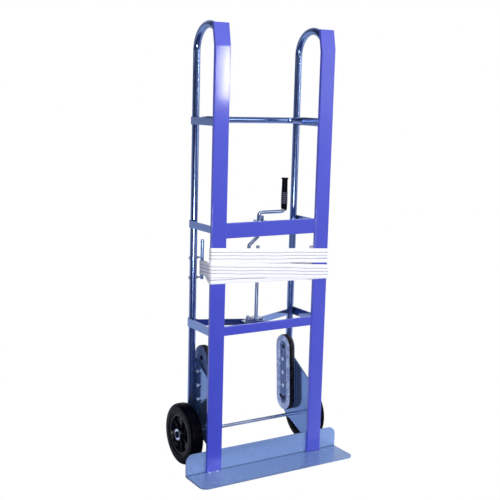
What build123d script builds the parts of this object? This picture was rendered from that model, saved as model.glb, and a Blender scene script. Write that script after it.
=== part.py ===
from build123d import *
import os
from math import acos, atan2, cos, hypot, radians, sin

os.makedirs("parts", exist_ok=True)

# Appliance hand truck with a belt winch and stair climbers.
# Frame: +Z up, -Y towards the load (the toe plate), X across, origin on the
# ground under the middle of the whole truck. All sizes are in millimetres.

# ---- overall sizes
RAIL_TOP = 1524.0            # height of the flat-cut rail tops
ARCH_RISE = 11.0             # how far the tube arches stand above the rail tops
TOE_WIDTH = 627.0
TOE_DEPTH = 120.0            # from the flange's front face to the front edge
WHEEL_RADIUS = 108.5
TYRE_BEHIND = 16.5           # tyres' front edge behind the flange's front face
TUBE_BEHIND = 171.5          # rear tubes behind the flange's front face
SHAFT_BEHIND = 80.0          # winding shaft behind the flange's front face

# ---- toe plate, one bent sheet
TOE_SHEET = 5.0
TOE_FLANGE = 79.0            # height of the upright flange
TOE_CORNER = 25.0
FLANGE_CORNER = 28.0
BEND_OUTSIDE = 7.0

# ---- front rails, shallow pressed channels
RAIL_WIDTH = 57.0
RAIL_DEPTH = 11.0
RAIL_WALL = 2.5
RAIL_CENTRE = 209.5          # middle of a rail from the centre line
RAIL_LEAN = 15.0             # how far the rail's top end bends back
RAIL_LEAN_LENGTH = 75.0
RAIL_EDGE = 2.4
CUT_OVER = 1.0               # how far a cutting shape runs past what it cuts

# ---- round tubes
TUBE_RADIUS = 12.7
TUBE_WALL = 1.6
TUBE_FOOT = 126.0            # height of the rear tubes' lower ends
ARCH_LEG = 70.0              # length of the arch's front leg behind the rail
CROSS_RADIUS = 11.0
CROSS_HEIGHT = 1208.0
CROSS_BEND = 30.0
CROSS_STRAP = 4.0            # thickness where the cross bar's ends are flattened
CROSS_FLAT_HEIGHT = 28.0
CROSS_ROUND_LENGTH = 34.0    # from the bend to the flattened end, along Y
CROSS_STRAP_EDGE = 1.8
CROSS_LEAD = 1.0             # straight stretch after each bend
CROSS_COPE = 1.0             # how deep the bend is coped into the rear tube

# ---- crossbars between the rails
CROSSBAR_SET_BACK = 2.0
CROSSBAR_WALL = 2.5
CROSSBAR_EDGE = 2.25
UPPER_BAR_BOTTOM = 820.0
UPPER_BAR_HEIGHT = 52.0
LOWER_BAR_BOTTOM = 485.0
LOWER_BAR_HEIGHT = 32.0

# ---- side brackets, flat straps from the rails round the rear tubes
BRACKET_SHEET = 4.0
BRACKETS = {"upper": (1192.0, 25.0), "mid": (836.0, 25.0), "lower": (483.0, 30.0)}

# ---- V strap and bearing tongue that carry the winding shaft
V_SHEET = 5.0
V_BOTTOM = 484.0
V_HEIGHT = 23.0
V_FLAT = 60.0
V_BEHIND = 97.0              # front face of its flat behind the flange's face
TONGUE_SHEET = 5.0
TONGUE_LEFT = 60.0
TONGUE_RIGHT = 24.0
TONGUE_REACH = 46.0
TONGUE_CORNER = 8.0

# ---- winding shaft, crank and ratchet
ROD_RADIUS = 6.5
RUNNING = 0.05               # radial clearance of everything that turns
PLAY = 0.3                   # end play between turning and fixed faces
SHAFT_FOOT = 485.0
SHAFT_TOP = 773.0            # free end of the fork
FORK_OFFSET = 37.0
FORK_JOIN = 652.0
FORK_LOW = 686.0
FORK_HIGH = 776.0
FORK_NECK = 806.0
ARM_HEIGHT = 890.0
CRANK_REACH = 105.0
GRIP_TOP = 1010.0
GRIP_RADIUS = 11.5
GRIP_FLANGE = 13.0
GRIP_FLANGE_DEPTH = 5.0
ROD_BEND = 12.0
ROD_START = 2.5              # where the fork's prong starts, off the shaft's axis
ROD_EDGE = 2.0
GRIP_ABOVE_BEND = 0.5
COLLAR_RADIUS = 11.0
COLLAR_HEIGHT = 7.0
TEETH = 12
RATCHET_TIP = 25.0
RATCHET_ROOT = 20.5
RATCHET_HEIGHT = 7.0
PAWL_X = -41.0
PAWL_Y = -10.0               # pawl pivot from the shaft, along Y
PAWL_PIN = 3.0
PAWL_HEIGHT = 6.0
PAWL_EYE = 7.0
PAWL_NOSE = 2.0              # how far its nose stands out past the teeth
NOSE_GAP = 0.4
SPRING_WIRE = 0.8
SPRING_RADIUS = 5.2
SPRING_PITCH = 2.2
SPRING_TURNS = 3.0
UPPER_TONGUE_SHEET = 4.0
UPPER_TONGUE_TOP = 864.0
UPPER_TONGUE_WIDTH = 38.0
UPPER_LEG = 30.0
FIN_HEIGHT = 15.0
FIN_SHEET = 4.0
FIN_OUT = 14.5               # fin's middle from the shaft's axis

# ---- side plates (gussets) that carry the axle and the climbers
PLATE_SHEET = 5.0
PLATE_TOP = 265.5            # its rear top corner above the axle
PLATE_FRONT_TOP = 154.5      # its front top corner above the axle
PLATE_CORNER = 10.0
PLATE_HEEL = 44.0
PLATE_BACK = 178.0           # its rear edge behind the flange's face
PLATE_UNDER_AXLE = 15.0

# ---- axle and wheels
AXLE_RADIUS = 6.35
SPACER_RADIUS = 10.0
WASHER = 2.0
WASHER_RADIUS = 20.0
SPACER_LENGTH = 34.5
HUB_LENGTH = 50.8
HUB_RADIUS = 70.0
HUB_RIM = 7.0
HUB_INSET = 3.0              # rim narrower than the tyre, each side
HUB_RIB = 5.0
HUB_RIB_INSET = 4.0
HUB_WEB = 6.0
HUB_BOSS = 22.0
HUB_RIBS = 6
BUSH_RADIUS = 10.0
TYRE_WIDTH = 47.0
TYRE_SHOULDER = 9.0
TREAD_GROOVES = 4
GROOVE_WIDTH = 2.6
GROOVE_DEPTH = 2.4
CAP_RADIUS = 11.5
CAP_LENGTH = 8.0
AXLE_IN_CAP = 5.5

# ---- stair climbers, a belt round two rollers in a pressed frame
CLIMBER_GAP = 3.0            # between its outer frame plate and the side plate
CLIMBER_WIDTH = 26.0
CLIMBER_SHEET = 2.5
CLIMBER_RADIUS = 43.0
CLIMBER_CENTRES = 196.0
CLIMBER_BEHIND = 137.0
CLIMBER_ABOVE = 164.5        # its middle above the axle
CLIMBER_TILT = 4.0           # top end leans back, degrees
RECESS_RADIUS = 21.0
RECESS_DEPTH = 4.0
BELT_INSIDE = 39.0
BELT_OUTSIDE = 45.0
BELT_SIDE_GAP = 0.5
ROLLER_GAP = 0.4
ROLLER_PIN = 5.0
PIN_HEAD = 8.0
PIN_HEAD_HEIGHT = 2.0
BOLT_RADIUS = 4.0
BOLT_STEP = 50.0
BOLT_HEAD = 7.5              # across the corners, halved
BOLT_HEAD_HEIGHT = 4.0
SLEEVE_RADIUS = 7.0
NUT_HEIGHT = 6.0
BOLT_END = 2.0               # thread showing past the nut

# ---- belt guide rod on the left rear tube
GUIDE_RADIUS = 6.0
GUIDE_OFFSET = 35.0          # rod's axis inboard of the tube's axis
GUIDE_FOOT = 650.0
GUIDE_TOP = 792.0
GUIDE_BOLTS = (658.0, 729.0)
GUIDE_BOLT_RADIUS = 3.0
GUIDE_HEAD_RADIUS = 5.8
GUIDE_HEAD_HEIGHT = 4.0
GUIDE_EDGE = 1.5

# ---- webbing strap, stored in three passes round the rails
WEB_WIDTH = 50.8
WEB_SHEET = 2.2
WEB_GAP = 0.3
WEB_SLACK = 1.2              # extra width for the passes' slope
LOWER_PASS = (695.0, 678.0)  # middle height at the left rail and at the right
SECOND_PASS = (719.0, 678.0)
UPPER_PASS = (770.0, 736.0)
GUIDE_PASS = 691.0           # middle height at the guide rod
WEB_BEND = 2.0               # inside radius where a pass turns round a rail
RUN_BEHIND = 8.0             # side run's start behind the flange's face
CLIP_HEIGHT = 54.0
CLIP_LENGTH = 16.0
CLIP_DEPTH = 4.0
CLIP_SHOWS = 4.0             # how far it stands behind the rail's inner edge
CLIP_RISE = 10.0

# ---- places worked out from the sizes above
AXLE_BEHIND = TYRE_BEHIND + WHEEL_RADIUS
FLANGE_Y = (TOE_DEPTH - AXLE_BEHIND - WHEEL_RADIUS) / 2
FLANGE_BACK = FLANGE_Y + TOE_SHEET
ARCH_TOP = RAIL_TOP + ARCH_RISE
RAIL_FRONT = FLANGE_Y - RAIL_DEPTH
WEB_BACK = RAIL_FRONT + RAIL_WALL
RAIL_INNER = RAIL_CENTRE - RAIL_WIDTH / 2
RAIL_OUTER = RAIL_CENTRE + RAIL_WIDTH / 2
TUBE_X = RAIL_CENTRE - 1.5
TUBE_Y = FLANGE_Y + TUBE_BEHIND
LEG_Y = WEB_BACK + TUBE_RADIUS
ARCH_RADIUS = (TUBE_Y - LEG_Y) / 2
ARCH_CENTRE = ARCH_TOP - TUBE_RADIUS - ARCH_RADIUS
SHAFT_Y = FLANGE_Y + SHAFT_BEHIND
AXLE_Y = FLANGE_Y + AXLE_BEHIND
AXLE_Z = WHEEL_RADIUS
CLIMBER_HEIGHT = AXLE_Z + CLIMBER_ABOVE
PLATE_OUT = TUBE_X - TUBE_RADIUS
PLATE_IN = PLATE_OUT - PLATE_SHEET
TONGUE_TOP = V_BOTTOM + V_HEIGHT
RATCHET_FOOT = TONGUE_TOP + PLAY
SPACER_END = PLATE_OUT + SPACER_LENGTH
HUB_START = SPACER_END + WASHER + PLAY
HUB_END = HUB_START + HUB_LENGTH
CAP_START = HUB_END + PLAY + WASHER
TYRE_START = HUB_START + (HUB_LENGTH - TYRE_WIDTH) / 2
GUIDE_X = -(TUBE_X - GUIDE_OFFSET)
PAWL_PLACE = (PAWL_X, SHAFT_Y + PAWL_Y)
SIDES = (("left", -1), ("right", 1))


def save(builder, name):
    """Labels a finished piece and writes it under its node name."""
    builder.part.label = name
    export_step(builder.part, f"parts/{name}.step")


def across(x, y, z, side=1):
    """A plane that faces outwards along X at this point, its own y upwards."""
    return Plane(origin=(x, y, z), x_dir=(0, side, 0), z_dir=(side, 0, 0))


def radial(y, z):
    """A plane through an X axis: local x runs along X and local y is the radius."""
    return Plane(origin=(0, y, z), x_dir=(1, 0, 0), z_dir=(0, -1, 0))


# ==== frame =================================================================

# toe plate: an L section, extruded across, with rounded corners
with BuildPart() as toe_plate:
    with BuildSketch(Plane.YZ):
        with BuildLine():
            Polyline(
                (FLANGE_Y - TOE_DEPTH, 0), (FLANGE_BACK, 0), (FLANGE_BACK, TOE_FLANGE),
                (FLANGE_Y, TOE_FLANGE), (FLANGE_Y, TOE_SHEET), (FLANGE_Y - TOE_DEPTH, TOE_SHEET),
                close=True,
            )
        make_face()
    extrude(amount=TOE_WIDTH / 2, both=True)
    heel = toe_plate.edges().filter_by(Axis.X).group_by(Axis.Z)[0].sort_by(Axis.Y)[-1]
    fillet(heel, BEND_OUTSIDE)
    front_corners = toe_plate.edges().filter_by(Axis.Z).group_by(Axis.Y)[0]
    fillet(front_corners, TOE_CORNER)
    flange_corners = toe_plate.edges().filter_by(Axis.Y).group_by(Axis.Z)[-1]
    fillet(flange_corners, FLANGE_CORNER)
save(toe_plate, "toe_plate")

# front rails: channels open to the back, standing on the toe plate
LEAN_START = RAIL_TOP - RAIL_LEAN_LENGTH
RAIL_FOOT = TOE_SHEET
LEAN_SLOPE = RAIL_LEAN / RAIL_LEAN_LENGTH
for side, s in SIDES:
    with BuildPart() as rail:
        with BuildSketch(Plane.YZ.offset(s * RAIL_CENTRE - RAIL_WIDTH / 2)):
            with BuildLine():
                Polyline(
                    (RAIL_FRONT, RAIL_FOOT), (RAIL_FRONT, LEAN_START),
                    (RAIL_FRONT + RAIL_LEAN, RAIL_TOP), (FLANGE_Y + RAIL_LEAN, RAIL_TOP),
                    (FLANGE_Y, LEAN_START), (FLANGE_Y, RAIL_FOOT),
                    close=True,
                )
            make_face()
        extrude(amount=RAIL_WIDTH)
        face_edges = rail.faces().sort_by(Axis.Y)[0].edges().filter_by(Axis.Z)
        fillet(face_edges, RAIL_EDGE)
        with BuildSketch(Plane.YZ.offset(s * RAIL_CENTRE - RAIL_WIDTH / 2 + RAIL_WALL)):
            with BuildLine():
                Polyline(
                    (WEB_BACK, RAIL_FOOT - CUT_OVER), (WEB_BACK, LEAN_START),
                    (WEB_BACK + RAIL_LEAN + LEAN_SLOPE * CUT_OVER, RAIL_TOP + CUT_OVER),
                    (FLANGE_Y + RAIL_LEAN + CUT_OVER, RAIL_TOP + CUT_OVER),
                    (FLANGE_Y + RAIL_LEAN + CUT_OVER, RAIL_FOOT - CUT_OVER),
                    close=True,
                )
            make_face()
        extrude(amount=RAIL_WIDTH - 2 * RAIL_WALL, mode=Mode.SUBTRACT)
    save(rail, f"rail_{side}")

# rear tubes: straight up, over in an arch, and down behind the rail's web
for side, s in SIDES:
    with BuildPart() as rear_tube:
        with BuildLine(Plane.YZ.offset(s * TUBE_X)) as tube_path:
            Line((TUBE_Y, TUBE_FOOT), (TUBE_Y, ARCH_CENTRE))
            ThreePointArc(
                (TUBE_Y, ARCH_CENTRE), (TUBE_Y - ARCH_RADIUS, ARCH_CENTRE + ARCH_RADIUS),
                (LEG_Y, ARCH_CENTRE),
            )
            Line((LEG_Y, ARCH_CENTRE), (LEG_Y, ARCH_CENTRE - ARCH_LEG))
        with BuildSketch(Plane.XY.offset(TUBE_FOOT)):
            with Locations((s * TUBE_X, TUBE_Y)):
                Circle(TUBE_RADIUS)
                Circle(TUBE_RADIUS - TUBE_WALL, mode=Mode.SUBTRACT)
        sweep(path=tube_path.wire())
        if side == "left":
            for height in GUIDE_BOLTS:
                with BuildSketch(across(s * (TUBE_X - 2 * TUBE_RADIUS), TUBE_Y, height, s)):
                    Circle(GUIDE_BOLT_RADIUS)
                extrude(amount=4 * TUBE_RADIUS, mode=Mode.SUBTRACT)
    save(rear_tube, f"rear_tube_{side}")

# upper cross bar: round across the back, bent forwards and flattened to the rails
CROSS_SIDE = PLATE_OUT - CROSS_STRAP / 2
BEND_X = CROSS_SIDE - CROSS_BEND
TOUCH = CROSS_BEND + CROSS_RADIUS + TUBE_RADIUS - CROSS_COPE
CROSS_Y = TUBE_Y - (TOUCH**2 - (TUBE_X - BEND_X) ** 2) ** 0.5 + CROSS_BEND
ROUND_END = CROSS_Y - CROSS_BEND
FLAT_START = ROUND_END - CROSS_ROUND_LENGTH
with BuildPart() as upper_cross_bar:
    with BuildLine(Plane.XY.offset(CROSS_HEIGHT)) as cross_path:
        FilletPolyline(
            (-CROSS_SIDE, ROUND_END - CROSS_LEAD), (-CROSS_SIDE, CROSS_Y), (CROSS_SIDE, CROSS_Y),
            (CROSS_SIDE, ROUND_END - CROSS_LEAD), radius=CROSS_BEND,
        )
    with BuildSketch(Plane((-CROSS_SIDE, ROUND_END - CROSS_LEAD, CROSS_HEIGHT), (1, 0, 0), (0, 1, 0))):
        Circle(CROSS_RADIUS)
    sweep(path=cross_path.wire())
    for s in (-1, 1):
        with BuildSketch(Plane((s * CROSS_SIDE, ROUND_END - CROSS_LEAD, CROSS_HEIGHT), (1, 0, 0), (0, -1, 0))):
            Circle(CROSS_RADIUS)
        with BuildSketch(Plane((s * CROSS_SIDE, FLAT_START, CROSS_HEIGHT), (1, 0, 0), (0, -1, 0))):
            RectangleRounded(CROSS_STRAP, CROSS_FLAT_HEIGHT, CROSS_STRAP_EDGE)
        loft()
        with BuildSketch(Plane((s * CROSS_SIDE, FLAT_START, CROSS_HEIGHT), (1, 0, 0), (0, -1, 0))):
            RectangleRounded(CROSS_STRAP, CROSS_FLAT_HEIGHT, CROSS_STRAP_EDGE)
        extrude(amount=FLAT_START - WEB_BACK)
        with Locations((s * TUBE_X, TUBE_Y, CROSS_HEIGHT)):
            Cylinder(TUBE_RADIUS, 4 * CROSS_RADIUS, mode=Mode.SUBTRACT)
save(upper_cross_bar, "upper_cross_bar")

# crossbars: shallow channels between the rails' inner lips, open to the back
CROSSBARS = {
    "upper_crossbar": (UPPER_BAR_BOTTOM, UPPER_BAR_HEIGHT),
    "lower_crossbar": (LOWER_BAR_BOTTOM, LOWER_BAR_HEIGHT),
}
BAR_FRONT = RAIL_FRONT + CROSSBAR_SET_BACK
for name, (bottom, height) in CROSSBARS.items():
    with BuildPart() as crossbar:
        with BuildSketch(Plane.YZ):
            with Locations(((BAR_FRONT + FLANGE_Y) / 2, bottom + height / 2)):
                Rectangle(FLANGE_Y - BAR_FRONT, height)
        extrude(amount=RAIL_INNER, both=True)
        long_edges = crossbar.faces().sort_by(Axis.Y)[0].edges().filter_by(Axis.X)
        fillet(long_edges, CROSSBAR_EDGE)
        with BuildSketch(Plane.XZ.offset(-(BAR_FRONT + CROSSBAR_WALL))):
            with Locations((0, bottom + height / 2)):
                Rectangle(2 * RAIL_INNER, height - 2 * CROSSBAR_WALL)
        extrude(amount=-RAIL_DEPTH, mode=Mode.SUBTRACT)
    save(crossbar, name)

# side brackets: straps from the rail's web along the tube's outside and round its back
WRAP_RADIUS = TUBE_RADIUS + BRACKET_SHEET
for level, (bottom, height) in BRACKETS.items():
    for side, s in SIDES:
        with BuildPart() as bracket:
            with BuildSketch(Plane.XY.offset(bottom)):
                with Locations((s * TUBE_X, TUBE_Y)):
                    Circle(WRAP_RADIUS)
                with Locations((s * (TUBE_X - WRAP_RADIUS), TUBE_Y), (s * TUBE_X, TUBE_Y - WRAP_RADIUS)):
                    Rectangle(2 * WRAP_RADIUS, 2 * WRAP_RADIUS, mode=Mode.SUBTRACT)
                with Locations((s * (TUBE_X + WRAP_RADIUS - BRACKET_SHEET / 2), (TUBE_Y + WEB_BACK) / 2)):
                    Rectangle(BRACKET_SHEET, TUBE_Y - WEB_BACK)
                with Locations((s * TUBE_X, TUBE_Y)):
                    Circle(TUBE_RADIUS, mode=Mode.SUBTRACT)
            extrude(amount=height)
        save(bracket, f"{level}_side_bracket_{side}")

# rear V strap: flat in the middle, its two arms coped onto the rear tubes
V_Y = FLANGE_Y + V_BEHIND + V_SHEET / 2
ARM_DX = TUBE_X - V_FLAT / 2
ARM_DY = TUBE_Y - V_Y
with BuildPart() as rear_v_strap:
    with BuildSketch(Plane.XY.offset(V_BOTTOM)):
        with Locations((0, V_Y)):
            SlotCenterToCenter(V_FLAT, V_SHEET)
        for s in (-1, 1):
            arm_angle = Vector(s * ARM_DX, ARM_DY).get_signed_angle(Vector(1, 0), Vector(0, 0, -1))
            with Locations(Location((s * (V_FLAT / 2 + ARM_DX / 2), V_Y + ARM_DY / 2, 0), (0, 0, arm_angle))):
                SlotCenterToCenter(hypot(ARM_DX, ARM_DY), V_SHEET)
    extrude(amount=V_HEIGHT)
    with Locations((TUBE_X, TUBE_Y, V_BOTTOM), (-TUBE_X, TUBE_Y, V_BOTTOM)):
        Cylinder(TUBE_RADIUS, 4 * V_HEIGHT, mode=Mode.SUBTRACT)
save(rear_v_strap, "rear_v_strap")

# lower bearing tongue: a plate welded to the V strap's flat
V_FRONT = FLANGE_Y + V_BEHIND
with BuildPart() as lower_bearing_plate:
    with BuildSketch(Plane.XY.offset(TONGUE_TOP - TONGUE_SHEET)):
        with BuildLine():
            Polyline(
                (-V_FLAT / 2, V_FRONT), (V_FLAT / 2, V_FRONT), (TONGUE_RIGHT, V_FRONT - TONGUE_REACH),
                (-TONGUE_LEFT, V_FRONT - TONGUE_REACH), (-TONGUE_LEFT, V_FRONT - TONGUE_REACH / 3),
                close=True,
            )
        make_face()
    extrude(amount=TONGUE_SHEET)
    front_edges = lower_bearing_plate.edges().filter_by(Axis.Z).group_by(Axis.Y)[0]
    fillet(front_edges, TONGUE_CORNER)
    with Locations((0, SHAFT_Y, TONGUE_TOP)):
        Hole(ROD_RADIUS + RUNNING)
    with Locations((*PAWL_PLACE, TONGUE_TOP)):
        Hole(PAWL_PIN)
save(lower_bearing_plate, "lower_bearing_plate")

# upper shaft bracket: an angle welded to the crossbar's back, with a guard fin
with BuildPart() as upper_shaft_bracket:
    with BuildSketch(Plane.XY.offset(UPPER_TONGUE_TOP - UPPER_TONGUE_SHEET)):
        with Locations((0, (FLANGE_Y + SHAFT_Y) / 2)):
            Rectangle(UPPER_TONGUE_WIDTH, SHAFT_Y - FLANGE_Y)
        with Locations((0, SHAFT_Y)):
            Circle(UPPER_TONGUE_WIDTH / 2)
    extrude(amount=UPPER_TONGUE_SHEET)
    with BuildSketch(Plane.XY.offset(UPPER_TONGUE_TOP - UPPER_LEG)):
        with Locations((0, FLANGE_Y + UPPER_TONGUE_SHEET / 2)):
            Rectangle(UPPER_TONGUE_WIDTH, UPPER_TONGUE_SHEET)
    extrude(amount=UPPER_LEG)
    with BuildSketch(Plane.XY.offset(UPPER_TONGUE_TOP)):
        with Locations((FIN_OUT, SHAFT_Y)):
            Rectangle(FIN_SHEET, 2 * ROD_RADIUS)
    extrude(amount=FIN_HEIGHT)
    with Locations((0, SHAFT_Y, UPPER_TONGUE_TOP)):
        Hole(ROD_RADIUS + RUNNING, depth=2 * UPPER_TONGUE_SHEET)
save(upper_shaft_bracket, "upper_shaft_bracket")

# ==== running gear ==========================================================

# climber bolt and pin places, on the climber's own tilted centre line
CLIMBER_Y = FLANGE_Y + CLIMBER_BEHIND
TILT_Y = sin(radians(CLIMBER_TILT))
TILT_Z = cos(radians(CLIMBER_TILT))
BOLT_PLACES = [
    (CLIMBER_Y + step * BOLT_STEP * TILT_Y, CLIMBER_HEIGHT + step * BOLT_STEP * TILT_Z)
    for step in (-1, 0, 1)
]
PIN_PLACES = {
    "lower": (CLIMBER_Y - CLIMBER_CENTRES / 2 * TILT_Y, CLIMBER_HEIGHT - CLIMBER_CENTRES / 2 * TILT_Z),
    "upper": (CLIMBER_Y + CLIMBER_CENTRES / 2 * TILT_Y, CLIMBER_HEIGHT + CLIMBER_CENTRES / 2 * TILT_Z),
}

# side plates: gussets from the rear tube to the rail and the flange's back
PLATE_REAR = FLANGE_Y + PLATE_BACK
for side, s in SIDES:
    with BuildPart() as side_plate:
        with BuildSketch(Plane.YZ.offset(s * (PLATE_IN + PLATE_OUT) / 2)):
            with BuildLine():
                Polyline(
                    (PLATE_REAR, AXLE_Z + PLATE_TOP), (WEB_BACK, AXLE_Z + PLATE_FRONT_TOP), (WEB_BACK, TOE_FLANGE),
                    (FLANGE_BACK, TOE_FLANGE), (FLANGE_BACK, PLATE_HEEL),
                    (AXLE_Y, AXLE_Z - PLATE_UNDER_AXLE), (AXLE_Y + PLATE_UNDER_AXLE, AXLE_Z - PLATE_UNDER_AXLE),
                    (PLATE_REAR, TUBE_FOOT),
                    close=True,
                )
            make_face()
            with Locations((AXLE_Y, AXLE_Z)):
                Circle(AXLE_RADIUS, mode=Mode.SUBTRACT)
            with Locations(*BOLT_PLACES):
                Circle(BOLT_RADIUS, mode=Mode.SUBTRACT)
        extrude(amount=PLATE_SHEET / 2, both=True)
        rear_corner = side_plate.edges().filter_by(Axis.X).sort_by(Axis.Z)[-1]
        fillet(rear_corner, PLATE_CORNER)
    save(side_plate, f"side_plate_{side}")

# axle, spacer tubes, washers and end caps, all fixed
AXLE_HALF = CAP_START + AXLE_IN_CAP
with BuildPart() as axle:
    with BuildSketch(Plane.YZ.offset(-AXLE_HALF)):
        with Locations((AXLE_Y, AXLE_Z)):
            Circle(AXLE_RADIUS)
    extrude(amount=2 * AXLE_HALF)
save(axle, "axle")

with BuildPart() as axle_spacers:
    for s in (-1, 1):
        with BuildSketch(across(s * PLATE_OUT, AXLE_Y, AXLE_Z, s)):
            Circle(SPACER_RADIUS)
            Circle(AXLE_RADIUS, mode=Mode.SUBTRACT)
        extrude(amount=SPACER_LENGTH)
save(axle_spacers, "axle_spacers")

with BuildPart() as wheel_washers:
    for s in (-1, 1):
        for start in (SPACER_END, HUB_END + PLAY):
            with BuildSketch(across(s * start, AXLE_Y, AXLE_Z, s)):
                Circle(WASHER_RADIUS)
                Circle(AXLE_RADIUS, mode=Mode.SUBTRACT)
            extrude(amount=WASHER)
save(wheel_washers, "wheel_washers")

with BuildPart() as axle_caps:
    for s in (-1, 1):
        with BuildSketch(radial(AXLE_Y, AXLE_Z)):
            with BuildLine():
                Polyline(
                    (s * CAP_START, AXLE_RADIUS), (s * CAP_START, CAP_RADIUS),
                    (s * (CAP_START + CAP_LENGTH / 2), CAP_RADIUS),
                    (s * (CAP_START + CAP_LENGTH), CAP_RADIUS / 2), (s * (CAP_START + CAP_LENGTH), 0),
                    (s * AXLE_HALF, 0), (s * AXLE_HALF, AXLE_RADIUS),
                    close=True,
                )
            make_face()
        revolve(axis=Axis((0, AXLE_Y, AXLE_Z), (1, 0, 0)))
save(axle_caps, "axle_caps")

# wheels: a solid ribbed tyre on a hub with a sintered bush
TYRE_MIDDLE = TYRE_START + TYRE_WIDTH / 2
RIM_HALF = TYRE_WIDTH / 2 - HUB_INSET
GROOVE_STEP = (TYRE_WIDTH - 2 * TYRE_SHOULDER) / (TREAD_GROOVES - 1)
for side, s in SIDES:
    wheel_axis = Axis((0, AXLE_Y, AXLE_Z), (1, 0, 0))
    with BuildPart() as tyre:
        with BuildSketch(radial(AXLE_Y, AXLE_Z)) as tyre_section:
            with Locations((s * TYRE_MIDDLE, (HUB_RADIUS + WHEEL_RADIUS) / 2)):
                Rectangle(TYRE_WIDTH, WHEEL_RADIUS - HUB_RADIUS)
            tread_corners = tyre_section.vertices().group_by(Axis.Z)[-1]
            fillet(tread_corners, TYRE_SHOULDER)
            for groove in range(TREAD_GROOVES):
                place = TYRE_START + TYRE_SHOULDER + groove * GROOVE_STEP
                with Locations((s * place, WHEEL_RADIUS)):
                    Rectangle(GROOVE_WIDTH, 2 * GROOVE_DEPTH, mode=Mode.SUBTRACT)
        revolve(axis=wheel_axis)
    save(tyre, f"tyre_{side}")

    with BuildPart() as hub:
        with BuildSketch(radial(AXLE_Y, AXLE_Z)):
            with Locations((s * TYRE_MIDDLE, HUB_RADIUS - HUB_RIM / 2)):
                Rectangle(2 * RIM_HALF, HUB_RIM)
            with Locations((s * TYRE_MIDDLE, (HUB_RADIUS - HUB_RIM + BUSH_RADIUS) / 2)):
                Rectangle(HUB_WEB, HUB_RADIUS - HUB_RIM - BUSH_RADIUS)
            with Locations((s * (HUB_START + HUB_LENGTH / 2), (HUB_BOSS + BUSH_RADIUS) / 2)):
                Rectangle(HUB_LENGTH, HUB_BOSS - BUSH_RADIUS)
        revolve(axis=wheel_axis)
        with BuildSketch(across(s * (TYRE_MIDDLE - RIM_HALF + HUB_RIB_INSET), AXLE_Y, AXLE_Z, s)):
            with PolarLocations((HUB_RADIUS - HUB_RIM + HUB_BOSS) / 2, HUB_RIBS):
                Rectangle(HUB_RADIUS - HUB_RIM - HUB_BOSS + 2 * CUT_OVER, HUB_RIB)
        extrude(amount=2 * (RIM_HALF - HUB_RIB_INSET))
    save(hub, f"wheel_hub_{side}")

    with BuildPart() as wheel_bush:
        with BuildSketch(across(s * HUB_START, AXLE_Y, AXLE_Z, s)):
            Circle(BUSH_RADIUS)
            Circle(AXLE_RADIUS + RUNNING, mode=Mode.SUBTRACT)
        extrude(amount=HUB_LENGTH)
    save(wheel_bush, f"wheel_bush_{side}")

# stair climbers
CLIMBER_OUT = PLATE_IN - CLIMBER_GAP
CLIMBER_IN = CLIMBER_OUT - CLIMBER_WIDTH
FLOOR_IN = CLIMBER_IN + RECESS_DEPTH
FLOOR_OUT = CLIMBER_OUT - RECESS_DEPTH
for side, s in SIDES:

    def climber_plane(x):
        """The climber's own plane at this distance out: local y runs up its centre line."""
        return Plane(
            origin=(s * x, CLIMBER_Y, CLIMBER_HEIGHT), x_dir=(0, s * TILT_Z, -s * TILT_Y), z_dir=(s, 0, 0)
        )

    rim_faces = {"inner": (CLIMBER_IN, 1), "outer": (CLIMBER_OUT, -1)}
    for which, (rim_face, inward) in rim_faces.items():
        with BuildPart() as frame_plate:
            with BuildSketch(climber_plane(rim_face)):
                SlotCenterToCenter(CLIMBER_CENTRES, 2 * CLIMBER_RADIUS, rotation=90)
            extrude(amount=inward * CLIMBER_SHEET)
            with BuildSketch(climber_plane(rim_face)):
                SlotCenterToCenter(CLIMBER_CENTRES, 2 * (RECESS_RADIUS + CLIMBER_SHEET), rotation=90)
            extrude(amount=inward * (RECESS_DEPTH + CLIMBER_SHEET))
            with BuildSketch(climber_plane(rim_face)):
                SlotCenterToCenter(CLIMBER_CENTRES, 2 * RECESS_RADIUS, rotation=90)
            extrude(amount=inward * RECESS_DEPTH, mode=Mode.SUBTRACT)
            with BuildSketch(climber_plane(rim_face)):
                with Locations((0, -BOLT_STEP), (0, 0), (0, BOLT_STEP)):
                    Circle(BOLT_RADIUS)
                with Locations((0, -CLIMBER_CENTRES / 2), (0, CLIMBER_CENTRES / 2)):
                    Circle(ROLLER_PIN)
            extrude(amount=inward * 2 * RECESS_DEPTH, mode=Mode.SUBTRACT)
        save(frame_plate, f"climber_{which}_plate_{side}")

    with BuildPart() as climber_belt:
        with BuildSketch(climber_plane(CLIMBER_IN + CLIMBER_SHEET + BELT_SIDE_GAP)):
            SlotCenterToCenter(CLIMBER_CENTRES, 2 * BELT_OUTSIDE, rotation=90)
            SlotCenterToCenter(CLIMBER_CENTRES, 2 * BELT_INSIDE, rotation=90, mode=Mode.SUBTRACT)
        extrude(amount=CLIMBER_WIDTH - 2 * (CLIMBER_SHEET + BELT_SIDE_GAP))
    save(climber_belt, f"climber_belt_{side}")

    for level, (pin_y, pin_z) in PIN_PLACES.items():
        roller_start = FLOOR_IN + CLIMBER_SHEET + PLAY
        roller_width = FLOOR_OUT - FLOOR_IN - 2 * (CLIMBER_SHEET + PLAY)
        with BuildPart() as roller:
            with BuildSketch(across(s * roller_start, pin_y, pin_z, s)):
                Circle(BELT_INSIDE - ROLLER_GAP)
                Circle(ROLLER_PIN + RUNNING, mode=Mode.SUBTRACT)
            extrude(amount=roller_width)
        save(roller, f"climber_{level}_roller_{side}")

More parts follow.
